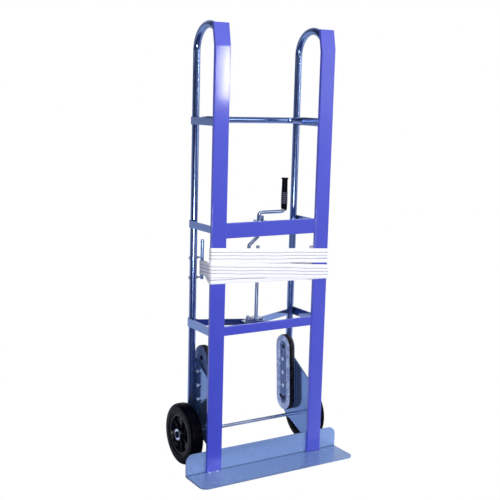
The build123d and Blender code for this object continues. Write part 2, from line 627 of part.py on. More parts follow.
with BuildPart() as roller_pins:
    for s in (-1, 1):
        for pin_y, pin_z in PIN_PLACES.values():
            with BuildSketch(across(s * (FLOOR_IN - PIN_HEAD_HEIGHT), pin_y, pin_z, s)):
                Circle(PIN_HEAD)
            extrude(amount=PIN_HEAD_HEIGHT)
            with BuildSketch(across(s * FLOOR_IN, pin_y, pin_z, s)):
                Circle(ROLLER_PIN)
            extrude(amount=FLOOR_OUT - FLOOR_IN)
            with BuildSketch(across(s * FLOOR_OUT, pin_y, pin_z, s)):
                Circle(PIN_HEAD)
            extrude(amount=PIN_HEAD_HEIGHT)
save(roller_pins, "roller_pins")

with BuildPart() as climber_bolts:
    for s in (-1, 1):
        for bolt_y, bolt_z in BOLT_PLACES:
            with BuildSketch(across(s * (FLOOR_IN - BOLT_HEAD_HEIGHT), bolt_y, bolt_z, s)):
                RegularPolygon(BOLT_HEAD, 6)
            extrude(amount=BOLT_HEAD_HEIGHT)
            with BuildSketch(across(s * FLOOR_IN, bolt_y, bolt_z, s)):
                Circle(BOLT_RADIUS)
            extrude(amount=PLATE_OUT + NUT_HEIGHT + BOLT_END - FLOOR_IN)
save(climber_bolts, "climber_bolts")

with BuildPart() as climber_nuts:
    for s in (-1, 1):
        for bolt_y, bolt_z in BOLT_PLACES:
            with BuildSketch(across(s * PLATE_OUT, bolt_y, bolt_z, s)):
                RegularPolygon(BOLT_HEAD, 6)
                Circle(BOLT_RADIUS, mode=Mode.SUBTRACT)
            extrude(amount=NUT_HEIGHT)
save(climber_nuts, "climber_nuts")

with BuildPart() as climber_sleeves:
    for s in (-1, 1):
        for bolt_y, bolt_z in BOLT_PLACES:
            for start, end in ((FLOOR_IN + CLIMBER_SHEET, FLOOR_OUT - CLIMBER_SHEET), (FLOOR_OUT, PLATE_IN)):
                with BuildSketch(across(s * start, bolt_y, bolt_z, s)):
                    Circle(SLEEVE_RADIUS)
                    Circle(BOLT_RADIUS, mode=Mode.SUBTRACT)
                extrude(amount=end - start)
save(climber_sleeves, "climber_sleeves")

# ==== winch =================================================================

# winding shaft: the lower rod, its free top end is one prong of the fork
with BuildPart() as winding_shaft:
    with BuildSketch(Plane.XY.offset(SHAFT_FOOT)):
        with Locations((0, SHAFT_Y)):
            Circle(ROD_RADIUS)
    extrude(amount=SHAFT_TOP - SHAFT_FOOT)
    fillet(winding_shaft.edges().sort_by(Axis.Z)[-1], ROD_EDGE)
save(winding_shaft, "winding_shaft")

# crank rod: one bent rod, the fork's other prong, the neck, the arm and the grip's core
ROD_END = GRIP_TOP - GRIP_FLANGE_DEPTH
with BuildPart() as crank_rod:
    with BuildLine(Plane.XZ.offset(-SHAFT_Y)) as rod_path:
        FilletPolyline(
            (-ROD_START, FORK_JOIN), (-FORK_OFFSET, FORK_LOW), (-FORK_OFFSET, FORK_HIGH),
            (0, FORK_NECK), (0, ARM_HEIGHT), (CRANK_REACH, ARM_HEIGHT), (CRANK_REACH, ROD_END),
            radius=ROD_BEND,
        )
    with BuildSketch(Plane(rod_path.wire() @ 0, z_dir=rod_path.wire() % 0)):
        Circle(ROD_RADIUS)
    sweep(path=rod_path.wire())
    with BuildSketch(Plane.XY.offset(SHAFT_FOOT)):
        with Locations((0, SHAFT_Y)):
            Circle(ROD_RADIUS)
    extrude(amount=SHAFT_TOP - SHAFT_FOOT, mode=Mode.SUBTRACT)
save(crank_rod, "crank_rod")

# hand grip: a moulded sleeve with a flange at its top, tight on the rod
GRIP_FOOT = ARM_HEIGHT + ROD_BEND + GRIP_ABOVE_BEND
with BuildPart() as crank_grip:
    with BuildSketch(Plane.XY.offset(GRIP_FOOT)):
        with Locations((CRANK_REACH, SHAFT_Y)):
            Circle(GRIP_RADIUS)
    extrude(amount=GRIP_TOP - GRIP_FOOT)
    with BuildSketch(Plane.XY.offset(GRIP_TOP - GRIP_FLANGE_DEPTH)):
        with Locations((CRANK_REACH, SHAFT_Y)):
            Circle(GRIP_FLANGE)
    extrude(amount=GRIP_FLANGE_DEPTH)
    with BuildSketch(Plane.XY.offset(GRIP_FOOT)):
        with Locations((CRANK_REACH, SHAFT_Y)):
            Circle(ROD_RADIUS)
    extrude(amount=ROD_END - GRIP_FOOT, mode=Mode.SUBTRACT)
    fillet(crank_grip.edges().group_by(Axis.Z)[-1], ROD_EDGE)
save(crank_grip, "crank_grip")

# ratchet wheel: each tooth is a ramp and a face that lies on a radius. The pawl's
# arm is a tangent to the wheel, so its nose meets the teeth at NOSE_ANGLE.
TOOTH_ANGLE = radians(360 / TEETH)
TOUCH_RADIUS = (RATCHET_TIP + RATCHET_ROOT) / 2
NOSE_ANGLE = atan2(PAWL_Y, PAWL_X) + acos(TOUCH_RADIUS / hypot(PAWL_X, PAWL_Y))
FACE_ANGLE = NOSE_ANGLE + NOSE_GAP / TOUCH_RADIUS


def polar(radius, angle):
    """A point in plan at this radius and angle from the winding shaft."""
    return (radius * cos(angle), SHAFT_Y + radius * sin(angle))


with BuildPart() as ratchet_wheel:
    with BuildSketch(Plane.XY.offset(RATCHET_FOOT)):
        with BuildLine():
            outline = []
            for count in range(TEETH):
                outline.append(polar(RATCHET_ROOT, FACE_ANGLE + count * TOOTH_ANGLE))
                outline.append(polar(RATCHET_TIP, FACE_ANGLE + count * TOOTH_ANGLE))
            Polyline(*outline, close=True)
        make_face()
        with Locations((0, SHAFT_Y)):
            Circle(ROD_RADIUS, mode=Mode.SUBTRACT)
    extrude(amount=RATCHET_HEIGHT)
save(ratchet_wheel, "ratchet_wheel")

# retaining collar under the tongue
with BuildPart() as shaft_collar:
    with BuildSketch(Plane.XY.offset(TONGUE_TOP - TONGUE_SHEET - PLAY - COLLAR_HEIGHT)):
        with Locations((0, SHAFT_Y)):
            Circle(COLLAR_RADIUS)
            Circle(ROD_RADIUS, mode=Mode.SUBTRACT)
    extrude(amount=COLLAR_HEIGHT)
save(shaft_collar, "shaft_collar")

# pawl: an eye on its pin and an arm whose nose rests in front of a tooth's face
PAWL_FOOT = RATCHET_FOOT + (RATCHET_HEIGHT - PAWL_HEIGHT) / 2
ARM_BACK = PAWL_EYE * 0.45
with BuildPart() as pawl:
    with BuildSketch(Plane.XY.offset(PAWL_FOOT)):
        with BuildLine():
            Polyline(
                polar(RATCHET_ROOT + NOSE_GAP, NOSE_ANGLE), polar(RATCHET_TIP + PAWL_NOSE, NOSE_ANGLE),
                (PAWL_PLACE[0] + PAWL_EYE * cos(NOSE_ANGLE), PAWL_PLACE[1] + PAWL_EYE * sin(NOSE_ANGLE)),
                (PAWL_PLACE[0] + ARM_BACK * cos(NOSE_ANGLE), PAWL_PLACE[1] + ARM_BACK * sin(NOSE_ANGLE)),
                close=True,
            )
        make_face()
        with Locations(PAWL_PLACE):
            Circle(PAWL_EYE)
            Circle(PAWL_PIN + RUNNING, mode=Mode.SUBTRACT)
    extrude(amount=PAWL_HEIGHT)
save(pawl, "pawl")

# pawl pin, riveted into the tongue, and its torsion spring round the pin
PIN_TOP = PAWL_FOOT + PAWL_HEIGHT + SPRING_PITCH * SPRING_TURNS + 2 * SPRING_WIRE + 1.5
PIN_CAP = 2.0
with BuildPart() as pawl_pin:
    with BuildSketch(Plane.XY.offset(TONGUE_TOP - TONGUE_SHEET)):
        with Locations(PAWL_PLACE):
            Circle(PAWL_PIN)
    extrude(amount=PIN_TOP - TONGUE_TOP + TONGUE_SHEET)
    with BuildSketch(Plane.XY.offset(PIN_TOP)):
        with Locations(PAWL_PLACE):
            Circle(SPRING_RADIUS + SPRING_WIRE)
    extrude(amount=PIN_CAP)
save(pawl_pin, "pawl_pin")

with BuildPart() as pawl_spring:
    spring_foot = PAWL_FOOT + PAWL_HEIGHT + SPRING_WIRE + 0.5
    coil = Helix(SPRING_PITCH, SPRING_PITCH * SPRING_TURNS, SPRING_RADIUS,
                 center=(*PAWL_PLACE, spring_foot), mode=Mode.PRIVATE)
    with BuildSketch(Plane(coil @ 0, z_dir=coil % 0)):
        Circle(SPRING_WIRE)
    sweep(path=coil)
save(pawl_spring, "pawl_spring")

# belt guide: an upright rod bolted through the left rear tube
with BuildPart() as belt_guide_rod:
    with BuildSketch(Plane.XY.offset(GUIDE_FOOT)):
        with Locations((GUIDE_X, TUBE_Y)):
            Circle(GUIDE_RADIUS)
    extrude(amount=GUIDE_TOP - GUIDE_FOOT)
    fillet(belt_guide_rod.edges().group_by(Axis.Z)[-1], GUIDE_EDGE)
    for height in GUIDE_BOLTS:
        with BuildSketch(across(GUIDE_X, TUBE_Y, height, -1)):
            Circle(GUIDE_BOLT_RADIUS)
        extrude(amount=2 * GUIDE_RADIUS, mode=Mode.SUBTRACT)
save(belt_guide_rod, "belt_guide_rod")

GUIDE_HEAD_X = -(TUBE_X + TUBE_RADIUS)
with BuildPart() as guide_bolts:
    for height in GUIDE_BOLTS:
        with BuildSketch(across(GUIDE_X, TUBE_Y, height, -1)):
            Circle(GUIDE_BOLT_RADIUS)
        extrude(amount=GUIDE_X - GUIDE_HEAD_X)
        with BuildSketch(across(GUIDE_HEAD_X, TUBE_Y, height, -1)):
            RegularPolygon(GUIDE_HEAD_RADIUS, 6)
        extrude(amount=GUIDE_HEAD_HEIGHT)
save(guide_bolts, "guide_bolts")

with BuildPart() as guide_nuts:
    for height in GUIDE_BOLTS:
        with BuildSketch(across(-PLATE_OUT, TUBE_Y, height, 1)):
            RegularPolygon(GUIDE_HEAD_RADIUS, 6)
            Circle(GUIDE_BOLT_RADIUS, mode=Mode.SUBTRACT)
        extrude(amount=GUIDE_HEAD_HEIGHT)
save(guide_nuts, "guide_nuts")

# ==== webbing strap =========================================================


def slab(left, right, half_span):
    """A slanted band of the webbing's width, to trim a pass: heights at X = -/+ half_span."""
    with BuildPart(mode=Mode.PRIVATE) as band:
        with BuildSketch(Plane.XZ):
            with BuildLine():
                Polyline(
                    (-half_span, left - WEB_WIDTH / 2), (half_span, right - WEB_WIDTH / 2),
                    (half_span, right + WEB_WIDTH / 2), (-half_span, left + WEB_WIDTH / 2),
                    close=True,
                )
            make_face()
        extrude(amount=TOE_WIDTH, both=True)
    return band.part


# only the upper pass goes right round: the lower two turn back at the left rail, to the
# guide rod, and behind the right rail they end in a short turned edge
PASSES = {
    "strap_lower_pass": (LOWER_PASS, 0, False),
    "strap_second_pass": (SECOND_PASS, 1, False),
    "strap_upper_pass": (UPPER_PASS, 0, True),
}
SLAB_SPAN = RAIL_OUTER + 10.0
for name, ((left, right), layer, closed) in PASSES.items():
    gap = WEB_GAP + layer * (WEB_SHEET + WEB_GAP)
    inside_x = 2 * (RAIL_OUTER + gap + WEB_SLACK)
    inside_y = RAIL_DEPTH + 2 * gap
    band_foot = min(left, right) - WEB_WIDTH
    with BuildPart() as strap_pass:
        with BuildSketch(Plane.XY.offset(band_foot)):
            with Locations((0, FLANGE_Y - RAIL_DEPTH / 2)):
                RectangleRounded(inside_x + 2 * WEB_SHEET, inside_y + 2 * WEB_SHEET, WEB_SHEET + WEB_BEND)
                RectangleRounded(inside_x, inside_y, WEB_BEND, mode=Mode.SUBTRACT)
            if not closed:
                with Locations((RAIL_INNER - SLAB_SPAN, FLANGE_Y + SLAB_SPAN / 2)):
                    Rectangle(2 * SLAB_SPAN, SLAB_SPAN, mode=Mode.SUBTRACT)
        extrude(amount=max(left, right) + WEB_WIDTH - band_foot)
        add(slab(left, right, SLAB_SPAN), mode=Mode.INTERSECT)
    save(strap_pass, name)

# the run from the left rail back to the guide rod, with its sewn loop round the rod
RUN_START_X = -(RAIL_OUTER + 2 * (WEB_GAP + WEB_SHEET) + 3 * WEB_SLACK)
RUN_START_Y = FLANGE_Y + RUN_BEHIND
LOOP_INSIDE = GUIDE_RADIUS + WEB_GAP
LOOP_OUTSIDE = LOOP_INSIDE + WEB_SHEET
with BuildPart() as strap_side_run:
    run = Vector(GUIDE_X - RUN_START_X, TUBE_Y - RUN_START_Y)
    run_angle = run.get_signed_angle(Vector(1, 0), Vector(0, 0, -1))
    sideways = Vector(-run.Y, run.X).normalized() * (LOOP_INSIDE + WEB_SHEET / 2)
    with BuildSketch(Plane.XY.offset(GUIDE_PASS - WEB_WIDTH / 2)):
        with Locations((GUIDE_X, TUBE_Y)):
            Circle(LOOP_OUTSIDE)
        with Locations(Location((
            (GUIDE_X + RUN_START_X) / 2 + sideways.X, (TUBE_Y + RUN_START_Y) / 2 + sideways.Y, 0
        ), (0, 0, run_angle))):
            Rectangle(run.length, WEB_SHEET)
        with Locations((GUIDE_X, TUBE_Y)):
            Circle(LOOP_INSIDE, mode=Mode.SUBTRACT)
    extrude(amount=WEB_WIDTH)
save(strap_side_run, "strap_side_run")

# pressed steel clip on the strap's free end, tucked behind the right rail's inner edge
CLIP_Y = FLANGE_Y + WEB_GAP + WEB_SHEET + WEB_GAP
with BuildPart() as strap_end_clip:
    with BuildSketch(Plane.XY.offset(UPPER_PASS[1] + CLIP_RISE - CLIP_HEIGHT / 2)):
        with Locations((RAIL_INNER - CLIP_LENGTH / 2 + CLIP_SHOWS, CLIP_Y + CLIP_DEPTH / 2)):
            Rectangle(CLIP_LENGTH, CLIP_DEPTH)
    extrude(amount=CLIP_HEIGHT)
save(strap_end_clip, "strap_end_clip")
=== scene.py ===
import math

import bmesh
import bpy
import numpy as np
from mathutils import Matrix, Vector


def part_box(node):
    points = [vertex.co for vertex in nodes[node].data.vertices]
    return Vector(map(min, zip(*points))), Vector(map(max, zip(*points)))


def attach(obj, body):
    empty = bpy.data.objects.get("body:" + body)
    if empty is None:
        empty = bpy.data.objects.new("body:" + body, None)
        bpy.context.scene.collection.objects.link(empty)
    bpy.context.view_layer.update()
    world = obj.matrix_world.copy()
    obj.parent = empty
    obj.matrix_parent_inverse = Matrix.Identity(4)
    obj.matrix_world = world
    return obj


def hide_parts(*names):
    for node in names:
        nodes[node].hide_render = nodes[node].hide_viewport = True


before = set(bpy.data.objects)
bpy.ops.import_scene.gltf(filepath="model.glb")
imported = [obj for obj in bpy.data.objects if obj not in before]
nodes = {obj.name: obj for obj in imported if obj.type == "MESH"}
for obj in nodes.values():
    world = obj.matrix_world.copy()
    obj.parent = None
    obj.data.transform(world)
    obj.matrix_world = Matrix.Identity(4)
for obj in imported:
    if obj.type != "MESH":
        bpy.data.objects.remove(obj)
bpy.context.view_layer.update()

# ---- Camera
# A camera at chest height to the front left of the truck, with a long lens and a slight roll. It
# looks down a little, so upright faces mirror the floor in front of the truck.
CAMERA_PLACE = (-1.7296, -2.7290, 1.2926)
YAW, PITCH, ROLL = 31.66, -9.374, 1.547
LENS_MM = 67.23
SENSOR_MM = 36.0
camera = bpy.data.objects.new("camera", bpy.data.cameras.new("camera"))
bpy.context.scene.collection.objects.link(camera)
camera.data.lens = LENS_MM
camera.data.sensor_width = SENSOR_MM
camera.matrix_world = (
    Matrix.Translation(CAMERA_PLACE)
    @ Matrix.Rotation(math.radians(-YAW), 4, "Z")
    @ Matrix.Rotation(math.radians(90 + PITCH), 4, "X")
    @ Matrix.Rotation(math.radians(ROLL), 4, "Z")
)
bpy.context.scene.camera = camera
bpy.context.scene.view_settings.view_transform = "Standard"


# ---- Studio
# A floor that shows white and a bright room behind and beside the truck. Both fall off to deep blue
# on the camera's side, which gives the enamel its dark cores. Soft lamps hang overhead, at the sides
# and in front; two in front are slim, for the streaks on the tubes and on the left rail.
def linear(hex_colour):
    """An sRGB hex colour as linear RGBA, by the sRGB curve on each channel."""
    channels = np.array([int(hex_colour[i:i + 2], 16) for i in (1, 3, 5)]) / 255
    curved = np.where(channels <= 0.04045, channels / 12.92, ((channels + 0.055) / 1.055) ** 2.4)
    return (*curved.tolist(), 1.0)


def add(tree, kind, inputs, out=0, **settings):
    """Adds one node with its settings, fills or links its inputs, and gives back one output."""
    made = tree.nodes.new("ShaderNode" + kind)
    for name, value in settings.items():
        setattr(made, name, value)
    for name, value in inputs.items():
        if isinstance(value, bpy.types.NodeSocket):
            tree.links.new(value, made.inputs[name])
        else:
            made.inputs[name].default_value = value
    return made.outputs[out] if made.outputs else None


def new_material(name):
    """An empty node material, and its tree."""
    material = bpy.data.materials.new(name)
    material.use_nodes = True
    material.node_tree.nodes.clear()
    return material, material.node_tree


def link(name, mesh):
    """Puts a mesh into the scene as an object at the origin."""
    made = bpy.data.objects.new(name, mesh)
    bpy.context.scene.collection.objects.link(made)
    return made


def falls_off(tree, direction, dark_way, start, full):
    """0 where a direction is turned from the dark side of the room, up to 1 well inside it."""
    toward = add(tree, "VectorMath", {0: direction, 1: dark_way}, "Value", operation="DOT_PRODUCT")
    return add(tree, "MapRange", {"Value": toward, "From Min": start, "From Max": full},
               interpolation_type="SMOOTHSTEP")


FLOOR_HALF = 60.0
WHITE = (1.0, 1.0, 1.0, 1.0)
floor_mesh = bpy.data.meshes.new("floor")
floor_mesh.from_pydata(
    [(-FLOOR_HALF, -FLOOR_HALF, 0), (FLOOR_HALF, -FLOOR_HALF, 0), (FLOOR_HALF, FLOOR_HALF, 0),
     (-FLOOR_HALF, FLOOR_HALF, 0)], [], [(0, 1, 2, 3)],
)
floor = link("floor", floor_mesh)
floor_paint, tree = new_material("pale studio floor")
outward = add(tree, "VectorMath", {0: add(tree, "TexCoord", {}, 3)}, operation="NORMALIZE")
dark = falls_off(tree, outward, (-0.5, -0.87, 0.0), -0.25, 0.6)
tone = add(tree, "Mix", {0: dark, 6: linear("#dfe5f4"), 7: linear("#101c50")}, 2, data_type="RGBA")
matt = add(tree, "BsdfDiffuse", {"Color": tone})
lit = add(tree, "Emission", {"Color": tone, "Strength": 0.45})
glow = add(tree, "Emission", {"Color": WHITE, "Strength": 1.0})
under = add(tree, "AddShader", {0: matt, 1: lit})
seen = add(tree, "LightPath", {})
add(tree, "OutputMaterial", {"Surface": add(tree, "MixShader", {0: seen, 1: under, 2: glow})})
floor_mesh.materials.append(floor_paint)

world = bpy.data.worlds.new("studio")
world.use_nodes = True
bpy.context.scene.world = world
tree = world.node_tree
tree.nodes.clear()
direction = add(tree, "TexCoord", {})
dark = falls_off(tree, direction, (-0.93, -0.34, 0.14), -0.34, 0.42)
ceiling = falls_off(tree, direction, (0.0, 0.0, 1.0), 0.3, 0.9)
room = add(tree, "Mix", {0: ceiling, 6: linear("#f4f8ff"), 7: linear("#8092bc")}, 2, data_type="RGBA")
room = add(tree, "Mix", {0: dark, 6: room, 7: linear("#0a1440")}, 2, data_type="RGBA")
seen = add(tree, "LightPath", {})
room_light = add(tree, "Background", {"Color": room, "Strength": 0.9})
backdrop = add(tree, "Background", {"Color": WHITE, "Strength": 1.0})
both = add(tree, "MixShader", {0: seen, 1: room_light, 2: backdrop})
add(tree, "OutputWorld", {"Surface": both})

LAMPS = (                    # name, place, target, width and height in metres, watts
    ("overhead_lamp", (-0.2, -1.0, 4.2), (0.0, 0.0, 0.7), 2.4, 2.4, 46.0),
    ("right_lamp", (3.7, -0.5, 2.3), (0.0, 0.0, 0.9), 1.4, 1.8, 12.0),
    ("left_lamp", (-3.6, 0.4, 2.1), (-0.2, 0.0, 0.8), 1.1, 1.1, 8.0),
    ("high_front_lamp", (-1.1, -3.4, 2.5), (0.0, 0.0, 0.6), 1.3, 1.3, 72.0),
    ("low_front_lamp", (-1.9, -3.0, 0.35), (0.0, 0.0, 0.6), 1.2, 0.4, 38.0),
    ("wide_front_lamp", (1.9, -3.2, 2.3), (0.0, 0.0, 1.2), 1.7, 0.8, 14.0),
    ("edge_lamp", (2.5, -2.35, 1.35), (0.0, 0.0, 1.2), 0.35, 1.3, 9.0),
    ("slim_front_lamp", (1.36, -2.75, 1.44), (-0.2, 0.0, 1.35), 0.03, 0.34, 3.0),
)
for name, place, target, width, tall, power in LAMPS:
    lamp = bpy.data.objects.new(name, bpy.data.lights.new(name, "AREA"))
    bpy.context.scene.collection.objects.link(lamp)
    lamp.data.shape = "RECTANGLE"
    lamp.data.size = width
    lamp.data.size_y = tall
    lamp.data.energy = power
    aim = Vector(target) - Vector(place)
    lamp.matrix_world = Matrix.Translation(place) @ aim.to_track_quat("-Z", "Y").to_matrix().to_4x4()

# ---- Rails and crossbars
# Shallow channels pressed from sheet steel, welded into a ladder, then powder coated in a
# violet blue. The coat is glossy, with a faint orange peel and a few handling marks.
RAIL_NODES = ("rail_left", "rail_right", "upper_crossbar", "lower_crossbar")
PEEL_MM = 3.5                # pitch of the orange peel, coarser than real so that it shows


def per_mm(size):
    """The texture scale at which a pattern's cells are this many millimetres, in metre coordinates."""
    return 1000.0 / size


def coated_steel(name, colour, shade, bare, metal, roughness, coat, peel=0.04, crease=None):
    """Painted steel: two close tones in broad clouds, orange peel, a few chips to a bare tone, and
    smudges that dull the gloss. The metal share lets a thin enamel mirror like the steel under it. A
    crease is a corner (0, y, z) along X; along it the coat is darkened, a painted shade, and above it
    the coat takes a paler tone, a painted light on the upright face."""
    material, tree = new_material(name)
    place = add(tree, "TexCoord", {}, 3)
    clouds = add(tree, "TexNoise", {"Vector": place, "Scale": per_mm(140), "Detail": 3.0})
    tone = add(tree, "Mix", {0: clouds, 6: linear(colour), 7: linear(shade)}, 2, data_type="RGBA")
    if crease:
        corner = [mm / 1000 for mm in crease]
        level = add(tree, "Mapping", {"Vector": place, "Scale": (0.0, 1.0, 1.0)})
        off = add(tree, "VectorMath", {0: level, 1: corner}, "Value", operation="DISTANCE")
        height = add(tree, "SeparateXYZ", {0: place}, "Z")
        # above the crease the upright face takes a paler tone: painted light, as on a face turned to the
        # lamps
        upright = add(tree, "MapRange", {
            "Value": height, "From Min": corner[2], "From Max": corner[2] + 0.003,
        })
        tone = add(tree, "Mix", {0: upright, 6: tone, 7: linear("#829dcd")}, 2, data_type="RGBA")
        # along the crease the coat is darkened towards #31446e: painted shade in the bend
        crease_shade = add(tree, "MapRange", {
            "Value": off, "From Min": 0.002, "From Max": 0.004, "To Min": 0.6, "To Max": 0.0,
        })
        tone = add(tree, "Mix", {0: crease_shade, 6: tone, 7: linear("#31446e")}, 2, data_type="RGBA")
    marks = add(tree, "TexNoise", {"Vector": place, "Scale": per_mm(7), "Detail": 4.0, "Roughness": 0.62})
    low_down = add(tree, "SeparateXYZ", {0: place}, "Z")
    wear = add(tree, "MapRange", {"Value": low_down, "From Max": 0.45, "To Min": 0.82, "To Max": 0.88})
    chip = add(tree, "Math", {0: marks, 1: wear}, operation="GREATER_THAN")
    skin = add(tree, "Mix", {0: chip, 6: tone, 7: linear(bare)}, 2, data_type="RGBA")
    smudge = add(tree, "TexNoise", {"Vector": place, "Scale": per_mm(60), "Detail": 5.0})
    dull = add(tree, "MapRange", {
        "Value": smudge, "From Min": 0.3, "From Max": 0.7,
        "To Min": roughness * 0.92, "To Max": roughness * 1.1,
    })
    skin_waves = add(tree, "TexNoise", {"Vector": place, "Scale": per_mm(PEEL_MM), "Detail": 1.0})
    depth = add(tree, "Math", {0: skin_waves, 1: chip}, operation="SUBTRACT")
    bump = add(tree, "Bump", {"Height": depth, "Strength": peel, "Distance": 0.0003})
    shader = add(tree, "BsdfPrincipled", {
        "Base Color": skin, "Metallic": metal, "Roughness": dull, "Normal": bump,
        "Coat Weight": coat, "Coat Roughness": 0.1,
    })
    add(tree, "OutputMaterial", {"Surface": shader})
    return material


# a saturated violet blue with a clear gloss: soft lamps show in it as pale streaks
violet_coat = coated_steel("violet blue powder coat", "#4a53cd", "#434bc0", "#9aa0e4", 0.0, 0.42, 1.0)


def finish_nodes(material, *names):
    """Gives CAD nodes this material."""
    for name in names:
        nodes[name].data.materials.clear()
        nodes[name].data.materials.append(material)


finish_nodes(violet_coat, *RAIL_NODES)

# ---- Toe plate, tubes, brackets and side plates
# The toe plate is one bent sheet; the tubes are one inch steel, bent over as handles; straps
# and gussets tie them together. All are enamelled blue grey, glossy enough to mirror.
TOE_THICK = 5.0
GREY_NODES = (
    "rear_tube_left", "rear_tube_right", "upper_cross_bar", "rear_v_strap", "lower_bearing_plate",
    "upper_shaft_bracket", "belt_guide_rod",
    *(f"{level}_side_bracket_{side}" for level in ("upper", "mid", "lower") for side in ("left", "right")),
)


def span(node):
    """A CAD node's lowest and highest corners, in millimetres."""
    low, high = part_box(node)
    return np.array(low) * 1000, np.array(high) * 1000


# the tubes' enamel is nearly a mirror: a dark core between bright edges
grey_enamel = coated_steel("blue grey enamel", "#8298c4", "#7088b6", "#c3cde2", 0.9, 0.16, 0.4, peel=0.01)
# the gussets' enamel is the darkest: a darker copy of the grey enamel, as painted shade, and it mirrors the
# climbers
shaded_gusset_enamel = coated_steel(
    "blue grey enamel on the gussets", "#6f8fc2", "#5f7fb2", "#b4c2de", 0.7, 0.16, 0.3,
)
# the toe plate's is paler and more worn, with soft reflections of the rails
plate_enamel = coated_steel(
    "blue grey enamel on the toe plate", "#7d98c6", "#7590be", "#b4c0da", 0.2, 0.26, 0.3,
    # its upright flange is painted paler, a painted light, and its crease darker, a painted shade
    crease=(0.0, span("toe_plate")[1][1] - TOE_THICK, TOE_THICK),
)
finish_nodes(grey_enamel, *GREY_NODES)
finish_nodes(shaded_gusset_enamel, "side_plate_left", "side_plate_right")
finish_nodes(plate_enamel, "toe_plate")


# ---- Weld beads
# Short runs of weld hold the frame together. They were laid before the paint, so they carry
# the enamel or the powder coat, and show as small rippled ridges in the corners.
BEAD_STEP = 1.3              # between the rings of points along a bead
BEAD_RIPPLE = 3.4            # between its ripples
BEAD_SIDES = 9
WRAP_TURN = 80               # how far round the tube a bracket is welded, in degrees
PLATE_TO_TUBE = (34, 110, 190)          # below the side plate's top
PLATE_TO_RAIL = (118, 182, 236)         # above the floor
PLATE_TO_TOE = (50, 76)                 # from and to, above the floor
HANDLE_TO_RAIL = (1376, 1432)
BARE_FOOT = ((-233, -219), (-215, -208), (-203, -190))     # along X, on the left rail's foot


def surface(name, grids, marks=None):
    """One mesh from grids of points in millimetres, shape (rows, columns, 3), each closed along its
    columns. A row drawn together to one point closes an end. Marks, three numbers a point, are kept
    as an attribute."""
    points, faces, start = [], [], 0
    for grid in grids:
        rows, columns = grid.shape[:2]
        index = start + np.arange(rows * columns).reshape(rows, columns)
        index = np.hstack([index, index[:, :1]])
        quads = np.stack([index[:-1, :-1], index[1:, :-1], index[1:, 1:], index[:-1, 1:]], -1)
        points.append(grid.reshape(-1, 3))
        faces.append(quads.reshape(-1, 4))
        start += rows * columns
    mesh = bpy.data.meshes.new(name)
    mesh.from_pydata(np.vstack(points) / 1000, [], np.vstack(faces).tolist())
    if marks:
        kept = mesh.attributes.new("mark", "FLOAT_VECTOR", "POINT")
        kept.data.foreach_set("vector", np.vstack([mark.reshape(-1, 3) for mark in marks]).ravel())
    tidy(mesh)
    mesh.shade_smooth()
    mesh.set_sharp_from_angle(angle=math.radians(50))
    return link(name, mesh)


def tidy(mesh):
    """Merges doubles, drops collapsed faces and turns the faces outwards."""
    shape = bmesh.new()
    shape.from_mesh(mesh)
    bmesh.ops.remove_doubles(shape, verts=shape.verts, dist=1e-6)
    bmesh.ops.dissolve_degenerate(shape, edges=shape.edges, dist=1e-7)
    bmesh.ops.recalc_face_normals(shape, faces=shape.faces)
    shape.to_mesh(mesh)
    shape.free()
    mesh.update()


def unit(vectors):
    """Each vector divided by its length."""
    return vectors / np.linalg.norm(vectors, axis=-1, keepdims=True)


def lengths(path):
    """How far along a path each of its points lies."""
    return np.r_[0, np.cumsum(np.linalg.norm(np.diff(path, axis=0), axis=1))]


def sampled(path, at):
    """The points at these distances along a path."""
    steps = lengths(path)
    return np.stack([np.interp(at, steps, path[:, i]) for i in range(path.shape[1])], -1)


def bead(path, radius, seed):
    """A weld run: a round section carried along a path. At distance s its radius is the given one
    times 0.86 + 0.14 |sin(pi s / ripple)|, and it shrinks to a point at both ends."""
    path = np.asarray(path, float)
    steps = lengths(path)
    at = np.linspace(0, steps[-1], max(9, int(steps[-1] / BEAD_STEP)))
    centre = sampled(path, at)
    centre += np.random.default_rng(seed).normal(0, 0.12, centre.shape)
    along = unit(np.gradient(centre, axis=0))
    side = unit(np.cross(along, np.array([0.31, 0.52, 0.79])))
    other = np.cross(along, side)
    ends = np.minimum(1, np.minimum(at, steps[-1] - at) / (1.4 * radius)) ** 0.5
    swell = radius * ends * (0.86 + 0.14 * np.abs(np.sin(np.pi * at / BEAD_RIPPLE)))
    angle = np.linspace(0, 2 * np.pi, BEAD_SIDES, endpoint=False)
    ring = np.cos(angle)[None, :, None] * side[:, None] + np.sin(angle)[None, :, None] * other[:, None]
    return centre[:, None] + swell[:, None, None] * ring


rail_low, rail_high = span("rail_right")
tube_low, tube_high = span("rear_tube_right")
plate_low, plate_high = span("side_plate_right")
toe_low, toe_high = span("toe_plate")
tube_radius = (tube_high[0] - tube_low[0]) / 2
tube_x = (tube_high[0] + tube_low[0]) / 2
tube_y = tube_high[1] - tube_radius
web_back = span("upper_side_bracket_right")[0][1]
grey_beads, violet_beads, shade_seam_beads, bare_beads = [], [], [], []


def weld_run(beads, side, first, last, radius):
    """Adds a straight bead between two points given for the right side, mirrored for the left."""
    ends = np.array([first, last], float) * (side, 1, 1)
    beads.append(bead(ends, radius, len(beads)))


